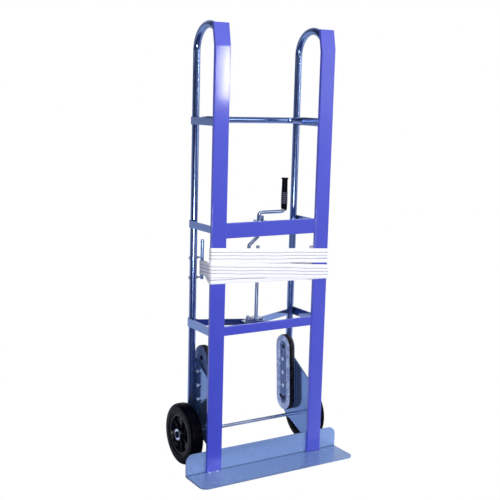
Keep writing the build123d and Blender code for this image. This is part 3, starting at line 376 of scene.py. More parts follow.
for side in (-1, 1):
    for level in ("upper", "mid", "lower"):
        low, high = span(f"{level}_side_bracket_right")
        turn = np.radians(np.linspace(0, WRAP_TURN, 9))
        round_tube = tube_radius + 0.6
        for z in (low[2], high[2]):
            wrap = [tube_x + round_tube * np.cos(turn), tube_y + round_tube * np.sin(turn), turn * 0 + z]
            wrap = np.stack(wrap, -1)
            grey_beads.append(bead(wrap * (side, 1, 1), 1.7, len(grey_beads)))
        edge_x, edge_y = high[0] - 4.4, web_back + 0.6
        weld_run(grey_beads, side, (edge_x, edge_y, low[2] + 2), (edge_x, edge_y, high[2] - 2), 2.0)
    back_x, back_y = plate_high[0] + 0.8, tube_y - 9.6
    for down in PLATE_TO_TUBE:
        z = plate_high[2] - down
        weld_run(grey_beads, side, (back_x, back_y, z - 18), (back_x, back_y, z + 18), 2.4)
    front_x, front_y = plate_high[0] + 0.6, web_back + 0.8
    for z in PLATE_TO_RAIL:
        weld_run(grey_beads, side, (front_x, front_y, z - 14), (front_x, front_y, z + 14), 2.2)
    heel = (plate_low[0] - 0.6, toe_high[1] + 0.8)
    weld_run(grey_beads, side, (*heel, PLATE_TO_TOE[0]), (*heel, PLATE_TO_TOE[1]), 2.4)
    leg_y = web_back + tube_radius * 0.14
    for out in (-1, 1):
        leg = (tube_x + out * tube_radius * 0.72, leg_y)
        weld_run(grey_beads, side, (*leg, HANDLE_TO_RAIL[0]), (*leg, HANDLE_TO_RAIL[1]), 2.4)
    low, high = span("rear_v_strap")
    arm_x = tube_x - tube_radius
    for z in (low[2], high[2]):
        weld_run(grey_beads, side, (arm_x - 5, tube_y - 5.2, z), (arm_x + 1.5, tube_y - 1.0, z), 1.8)
    for name in ("upper_crossbar", "lower_crossbar"):
        low, high = span(name)
        edge_x = rail_low[0] - 0.3
        for z in (low[2] + 3, high[2] - 3):
            weld_run(violet_beads, side, (edge_x - 0.7, high[1] - 1, z), (edge_x - 16, high[1] - 1, z), 1.9)
        # a thin bead along each crossbar's joint carries the seams' painted shade
        joint_y = low[1] + 1.2
        weld_run(shade_seam_beads, side, (edge_x, joint_y, low[2] + 1), (edge_x, joint_y, high[2] - 1), 1.3)
    # and a bead along each rail's foot carries the same painted shade
    foot_y, foot_z = rail_low[1] + 0.6, toe_low[2] + TOE_THICK + 0.4
    weld_run(shade_seam_beads, side, (rail_low[0] + 1, foot_y, foot_z), (rail_high[0] - 1, foot_y, foot_z), 1.4)
foot_y, foot_z = rail_low[1] - 0.6, toe_low[2] + TOE_THICK + 1.4
for start, end in BARE_FOOT:
    weld_run(bare_beads, 1, (start, foot_y, foot_z), (end, foot_y, foot_z), 1.7)
tongue_low, tongue_high = span("lower_bearing_plate")
tongue_y, tongue_z = tongue_high[1] - 0.6, tongue_low[2] - 0.6
weld_run(grey_beads, 1, (-27, tongue_y, tongue_z), (27, tongue_y, tongue_z), 2.2)
bracket_low, bracket_high = span("upper_shaft_bracket")
flank = (bracket_high[0] + 0.3, bracket_low[1] + 1.5)
for side in (-1, 1):
    weld_run(grey_beads, side, (*flank, bracket_low[2] + 2), (*flank, bracket_high[2] - 18), 2.0)
frame_welds = surface("frame_welds", grey_beads)
rail_welds = surface("rail_welds", violet_beads)
rail_shade_seams = surface("rail_shade_seams", shade_seam_beads)
bare_weld = surface("bare_foot_weld", bare_beads)
# the seams' coat is darkened as painted shade, for the shadow gaps at the crossbars' joints and
# along the rails' feet; the left foot's weld was touched up and never painted
seam_shade_coat = coated_steel("violet blue coat with painted shade in the seams", "#1d2270", "#171b5e", "#6a70b8", 0.0, 0.5, 0.2)
bright_weld = coated_steel("bare bright weld", "#e6ebf6", "#c2cade", "#8e97b4", 0.6, 0.35, 0.0)
for piece, material, slot in (
    (frame_welds, grey_enamel, "frame_grey"), (rail_welds, violet_coat, "rail_blue"),
    (rail_shade_seams, seam_shade_coat, "rail_blue"), (bare_weld, bright_weld, "zinc_steel"),
):
    piece.data.materials.append(material)
    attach(piece, "root")

# ---- Axle, shaft, crank rod and hardware
# Cold drawn steel rod and turned or pressed fittings, bright zinc plated: a soft silvery
# metal with a slightly blue passivated bloom and fine drawing lines.
ROD_NODES = ("winding_shaft", "crank_rod", "axle")
ZINC_NODES = (
    "axle_spacers", "wheel_washers", "climber_bolts", "climber_nuts",
    "climber_sleeves", "ratchet_wheel", "shaft_collar", "pawl", "pawl_pin", "pawl_spring",
    "guide_bolts", "guide_nuts",
)


def plated_steel(name, colour, bloom, low_roughness, high_roughness):
    """Zinc plate: metal whose tint and roughness drift in small clouds, with faint pitting."""
    material, tree = new_material(name)
    place = add(tree, "TexCoord", {}, 3)
    clouds = add(tree, "TexNoise", {"Vector": place, "Scale": per_mm(24), "Detail": 4.0})
    tint = add(tree, "Mix", {0: clouds, 6: linear(colour), 7: linear(bloom)}, 2, data_type="RGBA")
    grit = add(tree, "TexNoise", {"Vector": place, "Scale": per_mm(3), "Detail": 3.0})
    rough = add(tree, "MapRange", {"Value": grit, "To Min": low_roughness, "To Max": high_roughness})
    bump = add(tree, "Bump", {"Height": grit, "Strength": 0.05, "Distance": 0.0001})
    shader = add(tree, "BsdfPrincipled", {
        "Base Color": tint, "Roughness": rough, "Normal": bump, "Metallic": 1.0,
    })
    add(tree, "OutputMaterial", {"Surface": shader})
    return material


# the fittings are bright; the long rods are duller; the pressed caps are oiled nearly black
zinc = plated_steel("bright zinc plated steel", "#d2d9e6", "#a9b4ca", 0.18, 0.36)
rod_zinc = plated_steel("zinc plated rod", "#b4bfd4", "#8d9ab6", 0.2, 0.36)
oiled = plated_steel("dark oiled steel", "#2c3350", "#1c2238", 0.25, 0.45)
bronze = plated_steel("sintered bronze", "#9a7a52", "#75593a", 0.35, 0.6)
finish_nodes(zinc, *ZINC_NODES)
finish_nodes(rod_zinc, *ROD_NODES)
finish_nodes(oiled, "axle_caps", "roller_pins")
finish_nodes(bronze, "wheel_bush_left", "wheel_bush_right")

# ---- Wheels
# Solid rubber tyres moulded with four tread grooves and ringed walls, stretched onto glossy
# black nylon hubs with six scooped ribs a side. Each turns on the axle by its bronze bush.
TYRE_WAIST = 84.0            # radius where the tyre is widest
TYRE_FULL = 0.56             # 1 for an elliptic crown, less for a squarer one
TYRE_GROOVES = (-13.5, -4.5, 4.5, 13.5)
GROOVE_DEPTH = 2.4
GROOVE_HALF = 1.5
WALL_DRAW = 3.0              # how far the wall draws in from the waist to the bead
WALL_RINGS = (0.3, 0.75)     # shares of the way from the waist to the bead
RING_HEIGHT = 0.6
TYRE_POINTS = 190            # round the tyre's section
TYRE_ROUND = 120             # round the wheel
HUB_ROUND = 96
HUB_HALF = 20.4              # half the width of the hub's rim
RIB_FACES = 6
RIB_FROM, RIB_REACH = 18.0, 48.0        # a rib's inner radius, and its length outwards
RIB_TOP, RIB_SCOOP = 16.0, 5.0
tyre_low, tyre_high = span("tyre_right")
hub_low, hub_high = span("wheel_hub_right")
wheel_centre = (tyre_low + tyre_high) / 2
tyre_half = (tyre_high[0] - tyre_low[0]) / 2
tyre_radius = (tyre_high[2] - tyre_low[2]) / 2
bore = (hub_high[2] - hub_low[2]) / 2
boss_half = (hub_high[0] - hub_low[0]) / 2


def rounded(corners, radii, step):
    """A path through corners, each rounded by the tangent arc of its radius, about a step apart."""
    corners = np.asarray(corners, float)
    path = [corners[:1]]
    for before, corner, after, radius in zip(corners, corners[1:], corners[2:], radii):
        into, onward = unit(corner - before), unit(after - corner)
        turn = math.acos(np.clip(into @ onward, -1, 1))
        inward = unit(onward - (onward @ into) * into)
        first = corner - into * radius * math.tan(turn / 2)
        angle = np.linspace(0, turn, max(4, int(radius * turn / step)))[:, None]
        path.append(first + radius * (inward * (1 - np.cos(angle)) + into * np.sin(angle)))
    path.append(corners[-1:])
    return evened(np.vstack(path), 4 * step)


def evened(path, step):
    """The same path with its own points kept and more put in wherever they are over a step apart."""
    steps = lengths(path)
    return sampled(path, np.unique(np.round(np.r_[steps, np.arange(0, steps[-1], step)], 4)))


def revolved(section, side, count):
    """A closed section of (width, radius) points turned about a wheel's axis, and mirrored by side."""
    turn = np.linspace(0, 2 * np.pi, count + 1)[:, None]
    width, radius = section[None, :, 0] + 0 * turn, section[None, :, 1]
    points = np.stack([width, radius * np.cos(turn), radius * np.sin(turn)], -1)
    return (points + wheel_centre) * (side, 1, 1)


def tyre_section():
    """The tyre's closed section. Above the waist it is |w / half|^p + |(r - waist) / rise|^p = 1 with
    p = 2 / full, less a groove depth exp(-((w - g) / half)^4) at each g. Below it the wall draws in
    to the bead by the square of the way down, with raised rings."""
    turn = np.radians(np.linspace(-90, 90, 600))
    width = tyre_half * np.sign(np.sin(turn)) * np.abs(np.sin(turn)) ** TYRE_FULL
    radius = TYRE_WAIST + (tyre_radius - TYRE_WAIST) * np.abs(np.cos(turn)) ** TYRE_FULL
    for groove in TYRE_GROOVES:
        radius -= GROOVE_DEPTH * np.exp(-((width - groove) / GROOVE_HALF) ** 4)
    drop = np.linspace(0, 1, 60)[1:]
    wall = tyre_half - WALL_DRAW * drop ** 2
    for ring in WALL_RINGS:
        wall += RING_HEIGHT * np.exp(-((drop - ring) / 0.08) ** 2)
    wall = np.minimum(wall, tyre_half)
    down = TYRE_WAIST - (TYRE_WAIST - bore) * drop
    right = np.stack([wall, down], -1)
    left = np.stack([-wall, down], -1)[::-1]
    inside = np.stack([np.linspace(wall[-1], -wall[-1], 12)[1:-1], np.full(10, bore)], -1)
    loop = np.vstack([left, np.stack([width, radius], -1), right, inside, left[:1]])
    return sampled(loop, np.linspace(0, lengths(loop)[-1], TYRE_POINTS)[:-1])


def hub_ribs(side):
    """The ribs on both faces of the hub's web. A rib's top is scooped by RIB_SCOOP sin(pi t) between
    the boss and the rim, and it is 5 thick at the root and 3.2 near the top."""
    grids = []
    for face in (-1, 1):
        for angle in (np.arange(RIB_FACES) + 0.5) * 2 * math.pi / RIB_FACES:
            t = np.linspace(0, 1, 18)[:, None]
            top = RIB_TOP - RIB_SCOOP * np.sin(math.pi * t)
            reach = RIB_FROM + RIB_REACH * t
            thick = np.array([[-2.5, -1.6, -1.1, 1.1, 1.6, 2.5]])
            level = np.hstack([top * 0 + 1.0, top - 0.8, top, top, top - 0.8, top * 0 + 1.0])
            out = reach * math.cos(angle) - thick * math.sin(angle)
            up = reach * math.sin(angle) + thick * math.cos(angle)
            grid = np.stack([face * level, out + 0 * level, up + 0 * level], -1) + wheel_centre
            grids.append(closed(grid) * (side, 1, 1))
    return grids


def closed(grid):
    """The grid with a row drawn together to one point added at each end."""
    first, last = grid[:1].mean(1, keepdims=True), grid[-1:].mean(1, keepdims=True)
    return np.concatenate([0 * grid[:1] + first, grid, 0 * grid[-1:] + last])


# half the hub's section, as (width, radius) from its rim over the dished web to its bore
rim = bore - 5.5
hub_half = [
    (0, bore), (HUB_HALF, bore), (HUB_HALF, rim), (HUB_HALF - 3.4, rim - 1.5), (4.5, bore - 12),
    (3.2, 31.0), (8.0, 24.0), (boss_half, 20.5), (boss_half, 10.0), (0, 10.0),
]
hub_radii = [1.2, 1.2, 3.0, 6.0, 8.0, 3.0, 1.2, 0.4]
hub_right = rounded(hub_half, hub_radii, 0.9)
hub_section = np.vstack([hub_right, (hub_right * (-1, 1))[::-1][1:-1]])


def moulded_rubber(name, colour, dust, roughness, shine, worn=None):
    """Moulded rubber or nylon: a near black skin, pale dust in the noise's hollows, a fine grain. Where
    the first mark on its points is near 1, it may take another colour; on the grip this is a painted
    highlight on the pips."""
    material, tree = new_material(name)
    place = add(tree, "TexCoord", {}, 3)
    grime = add(tree, "TexNoise", {"Vector": place, "Scale": per_mm(22), "Detail": 6.0, "Roughness": 0.65})
    laid = add(tree, "MapRange", {"Value": grime, "From Min": 0.5, "From Max": 0.78, "To Max": 0.6})
    skin = add(tree, "Mix", {0: laid, 6: linear(colour), 7: linear(dust)}, 2, data_type="RGBA")
    # where the mark is high the skin takes the given colour: on the grip's pips, a painted highlight
    if worn:
        mark = add(tree, "SeparateXYZ", {0: add(tree, "Attribute", {}, "Vector", attribute_name="mark")})
        highlight_tips = add(tree, "MapRange", {"Value": mark, "From Min": 0.35, "From Max": 0.6})
        skin = add(tree, "Mix", {0: highlight_tips, 6: skin, 7: linear(worn)}, 2, data_type="RGBA")
    dull = add(tree, "MapRange", {"Value": grime, "To Min": roughness * 0.75, "To Max": roughness * 1.3})
    grain = add(tree, "TexNoise", {"Vector": place, "Scale": per_mm(1.4), "Detail": 2.0})
    bump = add(tree, "Bump", {"Height": grain, "Strength": 0.25, "Distance": 0.0003})
    shader = add(tree, "BsdfPrincipled", {
        "Base Color": skin, "Roughness": dull, "Normal": bump, "Specular IOR Level": shine,
    })
    add(tree, "OutputMaterial", {"Surface": shader})
    return material


# the tyres' rubber is a soft near black, and the hubs' nylon is a little bluer and glossier
tyre_rubber = moulded_rubber("moulded black rubber", "#04040c", "#0a0a16", 0.26, 0.04)
hub_nylon = moulded_rubber("glossy black nylon", "#05060e", "#0b0c18", 0.24, 0.16)
for side, sign in (("left", -1), ("right", 1)):
    tyre = surface(f"ribbed_tyre_{side}", [revolved(tyre_section(), sign, TYRE_ROUND)])
    hub = surface(f"ribbed_hub_{side}", [revolved(hub_section, sign, HUB_ROUND), *hub_ribs(sign)])
    for piece, material, slot, node in (
        (tyre, tyre_rubber, "tyre_rubber", f"tyre_{side}"),
        (hub, hub_nylon, "hub_black", f"wheel_hub_{side}"),
    ):
        piece.data.materials.append(material)
        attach(piece, f"wheel_{side}")
        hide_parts(node)

# ---- Stair climbers
# A lugged rubber belt runs round two nylon rollers between two frame plates, which are pressed
# from galvanised sheet with a sunk middle. Slots in the inner plates tension the belt.
CLIMBER_TILT = math.radians(4.0)
LUG_PITCH = 12.5
LUG_HEIGHT = 2.2
BELT_DEPTH = 6.0             # from its inside to the tops of its lugs
SHEET = 2.5                  # the plates' thickness
SUNK = 4.0                   # how deep their middles are pressed in
WELL_FLOOR, WELL_MOUTH = 19.6, 23.4     # half the width of the sunk middle, at its floor and mouth
SLOTS = (                    # place across and along the plate, half length, radius, angle
    (12.0, -99.0, 10.0, 6.0, 38.0), (13.0, 76.0, 3.5, 3.2, 88.0), (16.0, -46.0, 3.5, 3.0, 88.0),
)
belt_low, belt_high = span("climber_belt_right")
inner_low, inner_high = span("climber_inner_plate_right")
outer_face = span("climber_outer_plate_right")[1][0]
climber_middle = (belt_low + belt_high) / 2


def stadium_size(low, high):
    """The half length c and radius R of a stadium tilted by t, from the box it fills: its half sizes
    are c sin t + R and c cos t + R."""
    half = (high - low) / 2
    reach = (half[2] - half[1]) / (math.cos(CLIMBER_TILT) - math.sin(CLIMBER_TILT))
    return reach, half[1] - reach * math.sin(CLIMBER_TILT)


climber_reach, belt_radius = stadium_size(belt_low, belt_high)
plate_radius = stadium_size(inner_low, inner_high)[1]


def round_spine(straight, arc):
    """The stations round a stadium: for each, its foot v on the spine and its angle a, so that the
    point at distance r is (r cos a, v + r sin a)."""
    up = np.linspace(-climber_reach, climber_reach, straight)
    half_turn = np.linspace(0, np.pi, arc)[1:-1]
    foot = np.r_[up, 0 * half_turn + climber_reach, up[::-1], 0 * half_turn - climber_reach]
    angle = np.r_[0 * up, half_turn, 0 * up + np.pi, np.pi + half_turn]
    return foot, angle


def on_climber(x, across_it, along_it, side):
    """Points from distances along X, across the climber and along its leaning spine."""
    y = climber_middle[1] + across_it * math.cos(CLIMBER_TILT) + along_it * math.sin(CLIMBER_TILT)
    z = climber_middle[2] - across_it * math.sin(CLIMBER_TILT) + along_it * math.cos(CLIMBER_TILT)
    return np.stack([side * x + 0 * y, y, z], -1)


def belt(side):
    """The belt: a bevelled band whose lugs rise by LUG_HEIGHT clip(0.5 + 1.3 sin(2 pi n s / length), 0, 1)
    at distance s round it."""
    foot, angle = round_spine(170, 116)
    path = np.stack([belt_radius * np.cos(angle), foot + belt_radius * np.sin(angle)], -1)
    steps = lengths(np.vstack([path, path[:1]]))
    count = round(steps[-1] / LUG_PITCH)
    lug = np.clip(0.5 + 1.3 * np.sin(2 * np.pi * count * steps[:-1] / steps[-1]), 0, 1)
    top = belt_radius - LUG_HEIGHT * (1 - lug)
    half = (belt_high[0] - belt_low[0]) / 2
    x = np.array([-half + 0.4, half - 0.4, half, half, half - 0.8, 0.8 - half, -half, -half])
    low = np.full(len(top), belt_radius - BELT_DEPTH)
    r = np.stack([low, low, low + 0.5, top - 0.7, top, top, top - 0.7, low + 0.5], -1)
    grid = on_climber(climber_middle[0] + x[None] + 0 * r, r * np.cos(angle)[:, None],
                      foot[:, None] + r * np.sin(angle)[:, None], side)
    return np.concatenate([grid, grid[:1]])


def plate(face, inward, side):
    """A frame plate: its rim lies on the face and its middle is sunk inwards, with rounded bends."""
    corners = [
        (0, SUNK), (WELL_FLOOR, SUNK), (WELL_MOUTH, 0), (plate_radius, 0), (plate_radius, SHEET),
        (WELL_MOUTH + 1.5, SHEET), (WELL_FLOOR + 1.5, SUNK + SHEET), (0, SUNK + SHEET),
    ]
    section = rounded(corners, [2.2, 1.6, 1.1, 0.5, 1.0, 1.0], 0.7)
    foot, angle = round_spine(40, 40)
    r = section[:, :1]
    return on_climber(face + inward * section[:, 1:], r * np.cos(angle), foot + r * np.sin(angle), side)


def slot_cutter(across_it, along_it, half, radius, degrees, side):
    """A tall rod of stadium section, to cut a slot through an inner plate."""
    turn = np.linspace(0, 2 * np.pi, 33)[:-1]
    lengthwise = radius * np.cos(turn) + half * np.sign(np.cos(turn))
    crosswise = radius * np.sin(turn)
    lean = math.radians(degrees)
    a = across_it + lengthwise * math.cos(lean) - crosswise * math.sin(lean)
    b = along_it + lengthwise * math.sin(lean) + crosswise * math.cos(lean)
    x = inner_low[0] + np.array([[-4.0], [-4.0], [14.0], [14.0]])
    shrink = np.array([[0.0], [1.0], [1.0], [0.0]])
    return on_climber(x, across_it + (a - across_it) * shrink, along_it + (b - along_it) * shrink, side)


def cut(piece, grids):
    """Cuts the closed shapes in these grids out of a piece."""
    cutter = surface("cutter", grids)
    step = piece.modifiers.new("cut", "BOOLEAN")
    step.operation = "DIFFERENCE"
    step.solver = "EXACT"
    step.object = cutter
    bpy.context.view_layer.update()
    graph = bpy.context.evaluated_depsgraph_get()
    piece.data = bpy.data.meshes.new_from_object(piece.evaluated_get(graph))
    piece.modifiers.clear()
    bpy.data.objects.remove(cutter)
    piece.data.shade_smooth()
    piece.data.set_sharp_from_angle(angle=math.radians(35))


# a pale, mottled, half bright sheet: crystals of zinc under clouds of dull oxide
galvanised, tree = new_material("galvanised pressed sheet")
place = add(tree, "TexCoord", {}, 3)
spangle = add(tree, "TexVoronoi", {"Vector": place, "Scale": per_mm(9)}, "Color")
spangle = add(tree, "RGBToBW", {0: spangle})
cloud = add(tree, "TexNoise", {"Vector": place, "Scale": per_mm(13), "Detail": 6.0, "Roughness": 0.7})
mottle = add(tree, "Math", {0: spangle, 1: cloud}, operation="MULTIPLY")
mottle = add(tree, "MapRange", {"Value": mottle, "From Min": 0.1, "From Max": 0.42})
skin = add(tree, "Mix", {0: mottle, 6: linear("#8296c4"), 7: linear("#c6d3ee")}, 2, data_type="RGBA")
# the sunk middle, which is outboard of the rim's face, is darkened as painted shade; the outer
# plates lie further out still and are darkened all over, also painted shade
inboard = add(tree, "Math", {0: add(tree, "SeparateXYZ", {0: place}, "X")}, operation="ABSOLUTE")
sunk = add(tree, "MapRange", {
    "Value": inboard, "From Min": (inner_low[0] + 1) / 1000, "From Max": (inner_low[0] + SUNK) / 1000,
    "To Max": 0.8,
})
skin = add(tree, "Mix", {0: sunk, 6: skin, 7: linear("#3f5b92")}, 2, data_type="RGBA")
dull = add(tree, "MapRange", {"Value": cloud, "To Min": 0.32, "To Max": 0.6})
bump = add(tree, "Bump", {"Height": cloud, "Strength": 0.25, "Distance": 0.0004})
metal = add(tree, "BsdfPrincipled", {"Base Color": skin, "Metallic": 0.35, "Roughness": dull, "Normal": bump})
add(tree, "OutputMaterial", {"Surface": metal})

# the belts are blacker than the tyres, with brown dust on the lugs; the rollers are worn nylon
belt_rubber = moulded_rubber("lugged belt rubber", "#05060c", "#3a352c", 0.3, 0.25)
roller_nylon = moulded_rubber("worn black nylon", "#0c0e16", "#20222c", 0.4, 0.2)
for side, sign in (("left", -1), ("right", 1)):
    track = surface(f"lugged_belt_{side}", [belt(sign)])
    inner_plate = surface(f"pressed_inner_plate_{side}", [plate(inner_low[0], 1, sign)])
    cut(inner_plate, [slot_cutter(*slot, sign) for slot in SLOTS])
    outer_plate = surface(f"pressed_outer_plate_{side}", [plate(outer_face, -1, sign)])
    for piece, material, slot, node in (
        (track, belt_rubber, "belt_rubber", f"climber_belt_{side}"),
        (inner_plate, galvanised, "frame_grey", f"climber_inner_plate_{side}"),
        (outer_plate, galvanised, "frame_grey", f"climber_outer_plate_{side}"),
    ):
        piece.data.materials.clear()
        piece.data.materials.append(material)
        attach(piece, "root")
        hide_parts(node)
    finish_nodes(roller_nylon, f"climber_upper_roller_{side}", f"climber_lower_roller_{side}")

# ---- Crank grip
# A black rubber sleeve pushed over the crank's end and a little way round its bend: flanged at the
# top, thicker and pipped where the palm goes, and ringed at the bottom.
GRIP_PROFILE = (             # height and radius, from the ringed foot to the flange
    (895, 9.6), (897, 10.4), (905, 11.0), (925, 11.4), (950, 11.2), (975, 10.4), (1001, 10.1),
    (1004, 10.6), (1005.5, 12.2), (1007, 12.6), (1009, 12.5), (1010, 11.8),
)
RINGS_BELOW = 922.0
RING_PITCH, RING_WAVE = 5.0, 0.45
PIP_HEIGHTS = 921.0 + 7.2 * np.arange(6)
PIP_TURNS = np.radians(np.arange(0, 360, 24) + 3.0)
PIP_HIGH, PIP_SPREAD = 0.9, 1.3
PALM_RADIUS = 11.4
GRIP_BEND = 12.0             # the radius of the crank's bend under the sleeve
GRIP_BENT = math.radians(32)
grip_low, grip_high = span("crank_grip")
grip_middle = (grip_low + grip_high) / 2


def grip_grid():
    """Rings down the sleeve, and how near each point is to a pip. The radius follows the profile by
    height, plus a sine wave of rings low down, plus PIP_HIGH exp(-(d / PIP_SPREAD)^2) at distance d
    from each pip."""
    level = np.linspace(grip_high[2], grip_low[2] + 0.5, 230)
    bent = np.linspace(0, GRIP_BENT, 14)[1:]
    height = np.r_[level, level[-1] - GRIP_BEND * bent]
    radius = np.interp(height, *np.array(GRIP_PROFILE).T)
    radius += RING_WAVE * np.sin(2 * np.pi * height / RING_PITCH) * (height < RINGS_BELOW)
    turn = np.linspace(0, 2 * np.pi, 133)[:-1]
    apart_up = height[:, None] - PIP_HEIGHTS[None]
    apart_round = (turn[:, None] - PIP_TURNS[None] + np.pi) % (2 * np.pi) - np.pi
    near_up = np.exp(-(apart_up / PIP_SPREAD) ** 2).max(1)
    near_round = np.exp(-(PALM_RADIUS * apart_round / PIP_SPREAD) ** 2).max(1)
    pip = near_up[:, None] * near_round[None]
    r = radius[:, None] + PIP_HIGH * pip
    lean = np.r_[0 * level, bent]
    x = grip_middle[0] - GRIP_BEND * (1 - np.cos(lean))
    z = np.r_[level, level[-1] - GRIP_BEND * np.sin(bent)]
    grid = np.stack([
        x[:, None] + r * np.cos(turn) * np.cos(lean)[:, None],
        grip_middle[1] + r * np.sin(turn),
        z[:, None] - r * np.cos(turn) * np.sin(lean)[:, None],
    ], -1)
    return closed(grid), closed(np.stack([pip, 0 * pip, 0 * pip], -1))


# the sleeve is black; its pips are painted pale, a painted highlight standing for their glints
grip_rubber = moulded_rubber("pipped grip rubber", "#04050c", "#0a0c1c", 0.28, 0.06, worn="#b4b9d8")
points, pips = grip_grid()
grip = surface("pipped_grip", [points], marks=[pips])
grip.data.materials.append(grip_rubber)
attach(grip, "crank")
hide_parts("crank_grip")

# ---- Webbing strap
# Two inch white polyester webbing with three faint grey lines woven along it. It is looped round the
# guide rod, crosses the rails three times and ends tucked behind the right rail.
WEB_WIDTH = 50.8
WEB_THICK = 1.9
WEB_GAP = 1.4                # from the steel to the first layer's middle
WEB_LIFT = 2.5               # from one layer's middle to the next
LINES_MM = (-11.2, 0.0, 11.2)
YARN_MM = 1.5                # real yarns are about 0.8 mm; drawn coarser so that they show
guide_low, guide_high = span("belt_guide_rod")
clip_low, clip_high = span("strap_end_clip")
rod = np.array([(guide_low[0] + guide_high[0]) / 2, tube_y])
rod_radius = (guide_high[0] - guide_low[0]) / 2
outer, inner = rail_high[0], rail_low[0]
front, lip = rail_low[1], toe_high[1] - TOE_THICK
near, far = WEB_GAP, WEB_GAP + WEB_LIFT
to_rod = unit(rod - np.array([-outer, lip]))
beside = np.array([-to_rod[1], to_rod[0]])
loop = rod_radius + 1.6


def by_rod(sideways, onward, height):
    """A corner beside the guide rod, measured across and along the side run's direction."""
    return (*(rod + sideways * loop * beside + onward * to_rod), height)


# the corners the webbing's middle turns at, in order, and the radius of each turn
ROUTE = [
    (inner - 18, lip + near, 676), (outer + near, lip + near, 677), (outer + near, front - near, 678),
    (-outer - near, front - near, 695), (-outer - near, lip + 1, 695),
    by_rod(-1, -3, 691), by_rod(-1, loop, 690), by_rod(1, loop, 691), by_rod(1, -3, 692),
    (-outer - far, lip + 2, 719), (-outer - far, front - far, 719), (outer + far, front - far, 678),
    (outer + far, lip + far, 679), (-outer - near, lip + near, 766), (-outer - near, front - near, 767),
    (outer + near, front - near, 736), (outer + near, lip + near, 737),
    (clip_low[0] + 3, lip + near + 0.6, 743),
]
TURNS = [3, 3.6, 3.6, 3, 12, loop, loop, 12, 5, 6, 6, 5, 3, 3.6, 3.6, 3]
centre = rounded(ROUTE, TURNS, 1.3)
kernel = np.hanning(9) / np.hanning(9).sum()
centre[:, 2] = np.convolve(np.pad(centre[:, 2], 4, mode="edge"), kernel, mode="valid")
steps = lengths(centre)
plan_way = unit(np.gradient(centre[:, :2], axis=0))
outwards = np.stack([plan_way[:, 1], -plan_way[:, 0], 0 * steps], -1)
# between the rails the webbing hangs free, and sways by up to a millimetre
free = np.clip((inner - 6 - np.abs(centre[:, 0])) / 40, 0, 1) * (centre[:, 1] < front + 3)
centre[:, 2] += free * (0.9 * np.sin(steps / 61) + 0.5 * np.sin(steps / 23 + 1))
centre += (free * 0.5 * np.sin(steps / 37))[:, None] * outwards


def band(centre, outwards, width, thick, grooves=()):
    """A flat band swept along its middle line, with rounded edges, faint grooves along it, and closed
    ends; and for each point its place on the flat band, in metres along and across it."""
    along = unit(np.gradient(centre, axis=0))
    up = np.array([0.0, 0.0, 1.0])
    across = unit(up - (along @ up)[:, None] * along)
    part = np.linspace(-1, 1, 34)
    part = np.sign(part) * np.abs(part) ** 0.85
    half = thick / 2 * (1 - np.abs(part) ** 14) ** 0.5
    for mm in grooves:
        half -= 0.1 * np.exp(-((part * width / 2 - mm) / 1.1) ** 2)
    section = np.vstack([np.stack([part, half], -1), np.stack([part, -half], -1)[-2:0:-1]])
    sideways = section[None, :, :1] * width / 2
    points = centre[:, None] + sideways * across[:, None] + section[None, :, 1:] * outwards[:, None]
    run = lengths(centre)[:, None] + 0 * section[None, :, 0]
    places = np.stack([run, sideways[..., 0] + 0 * run, 0 * run], -1) / 1000
    return closed(points), closed(places)


points, places = band(centre, outwards, WEB_WIDTH, WEB_THICK, LINES_MM)
web_strap = surface("web_strap", [points], marks=[places])

# a bright white cloth, nearly overexposed, whose grey lines and weave are what shows its run
webbing, tree = new_material("woven white polyester webbing")
on_web = add(tree, "Attribute", {}, "Vector", attribute_name="mark")
run = add(tree, "SeparateXYZ", {0: on_web}, "X")
over = add(tree, "SeparateXYZ", {0: on_web}, "Y")
weft = add(tree, "Math", {0: run, 1: 2000 * math.pi / YARN_MM}, operation="MULTIPLY")
warp = add(tree, "Math", {0: over, 1: 2000 * math.pi / (YARN_MM * 1.4)}, operation="MULTIPLY")
weft = add(tree, "Math", {0: weft}, operation="SINE")
warp = add(tree, "Math", {0: warp}, operation="SINE")
weave = add(tree, "Math", {0: weft, 1: warp}, operation="MULTIPLY")
stripe = 0.0
for mm in LINES_MM:
    off = add(tree, "Math", {0: over, 1: mm / 1000}, operation="SUBTRACT")
    off = add(tree, "Math", {0: off}, operation="ABSOLUTE")
    line = add(tree, "MapRange", {
        "Value": off, "From Min": 0.0005, "From Max": 0.0013, "To Min": 1.0, "To Max": 0.0,
    })
    stripe = add(tree, "Math", {0: stripe, 1: line}, operation="MAXIMUM")
worn = add(tree, "TexNoise", {"Vector": on_web, "Scale": per_mm(34), "Detail": 5.0})
worn = add(tree, "MapRange", {"Value": worn, "From Min": 0.5, "From Max": 0.8, "To Max": 0.3})
yarn = add(tree, "Mix", {0: stripe, 6: linear("#ffffff"), 7: linear("#8e8ea4")}, 2, data_type="RGBA")
yarn = add(tree, "Mix", {0: worn, 6: yarn, 7: linear("#dcdde6")}, 2, data_type="RGBA")
shade = add(tree, "MapRange", {"Value": weave, "From Min": -1.0, "To Min": 0.08, "To Max": 0.0})
yarn = add(tree, "Mix", {0: shade, 6: yarn, 7: linear("#a9aec2")}, 2, data_type="RGBA")
bump = add(tree, "Bump", {"Height": weave, "Strength": 0.35, "Distance": 0.0003})
cloth = add(tree, "BsdfPrincipled", {
    "Base Color": yarn, "Roughness": 0.75, "Normal": bump, "Sheen Weight": 0.25, "Sheen Roughness": 0.4,
})
add(tree, "OutputMaterial", {"Surface": cloth})
web_strap.data.materials.append(webbing)
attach(web_strap, "root")
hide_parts("strap_lower_pass", "strap_second_pass", "strap_upper_pass", "strap_side_run")

# ---- Strap stitches and end clip
# Grey thread holds the webbing's turned ends: one row at the right of the upper pass, short rows
# where the passes round the left rail. A folded zinc plated clip grips the end behind the rail.
STITCH = np.array([1.6, 0.7, 0.8])
CLIP_THICK = 1.1


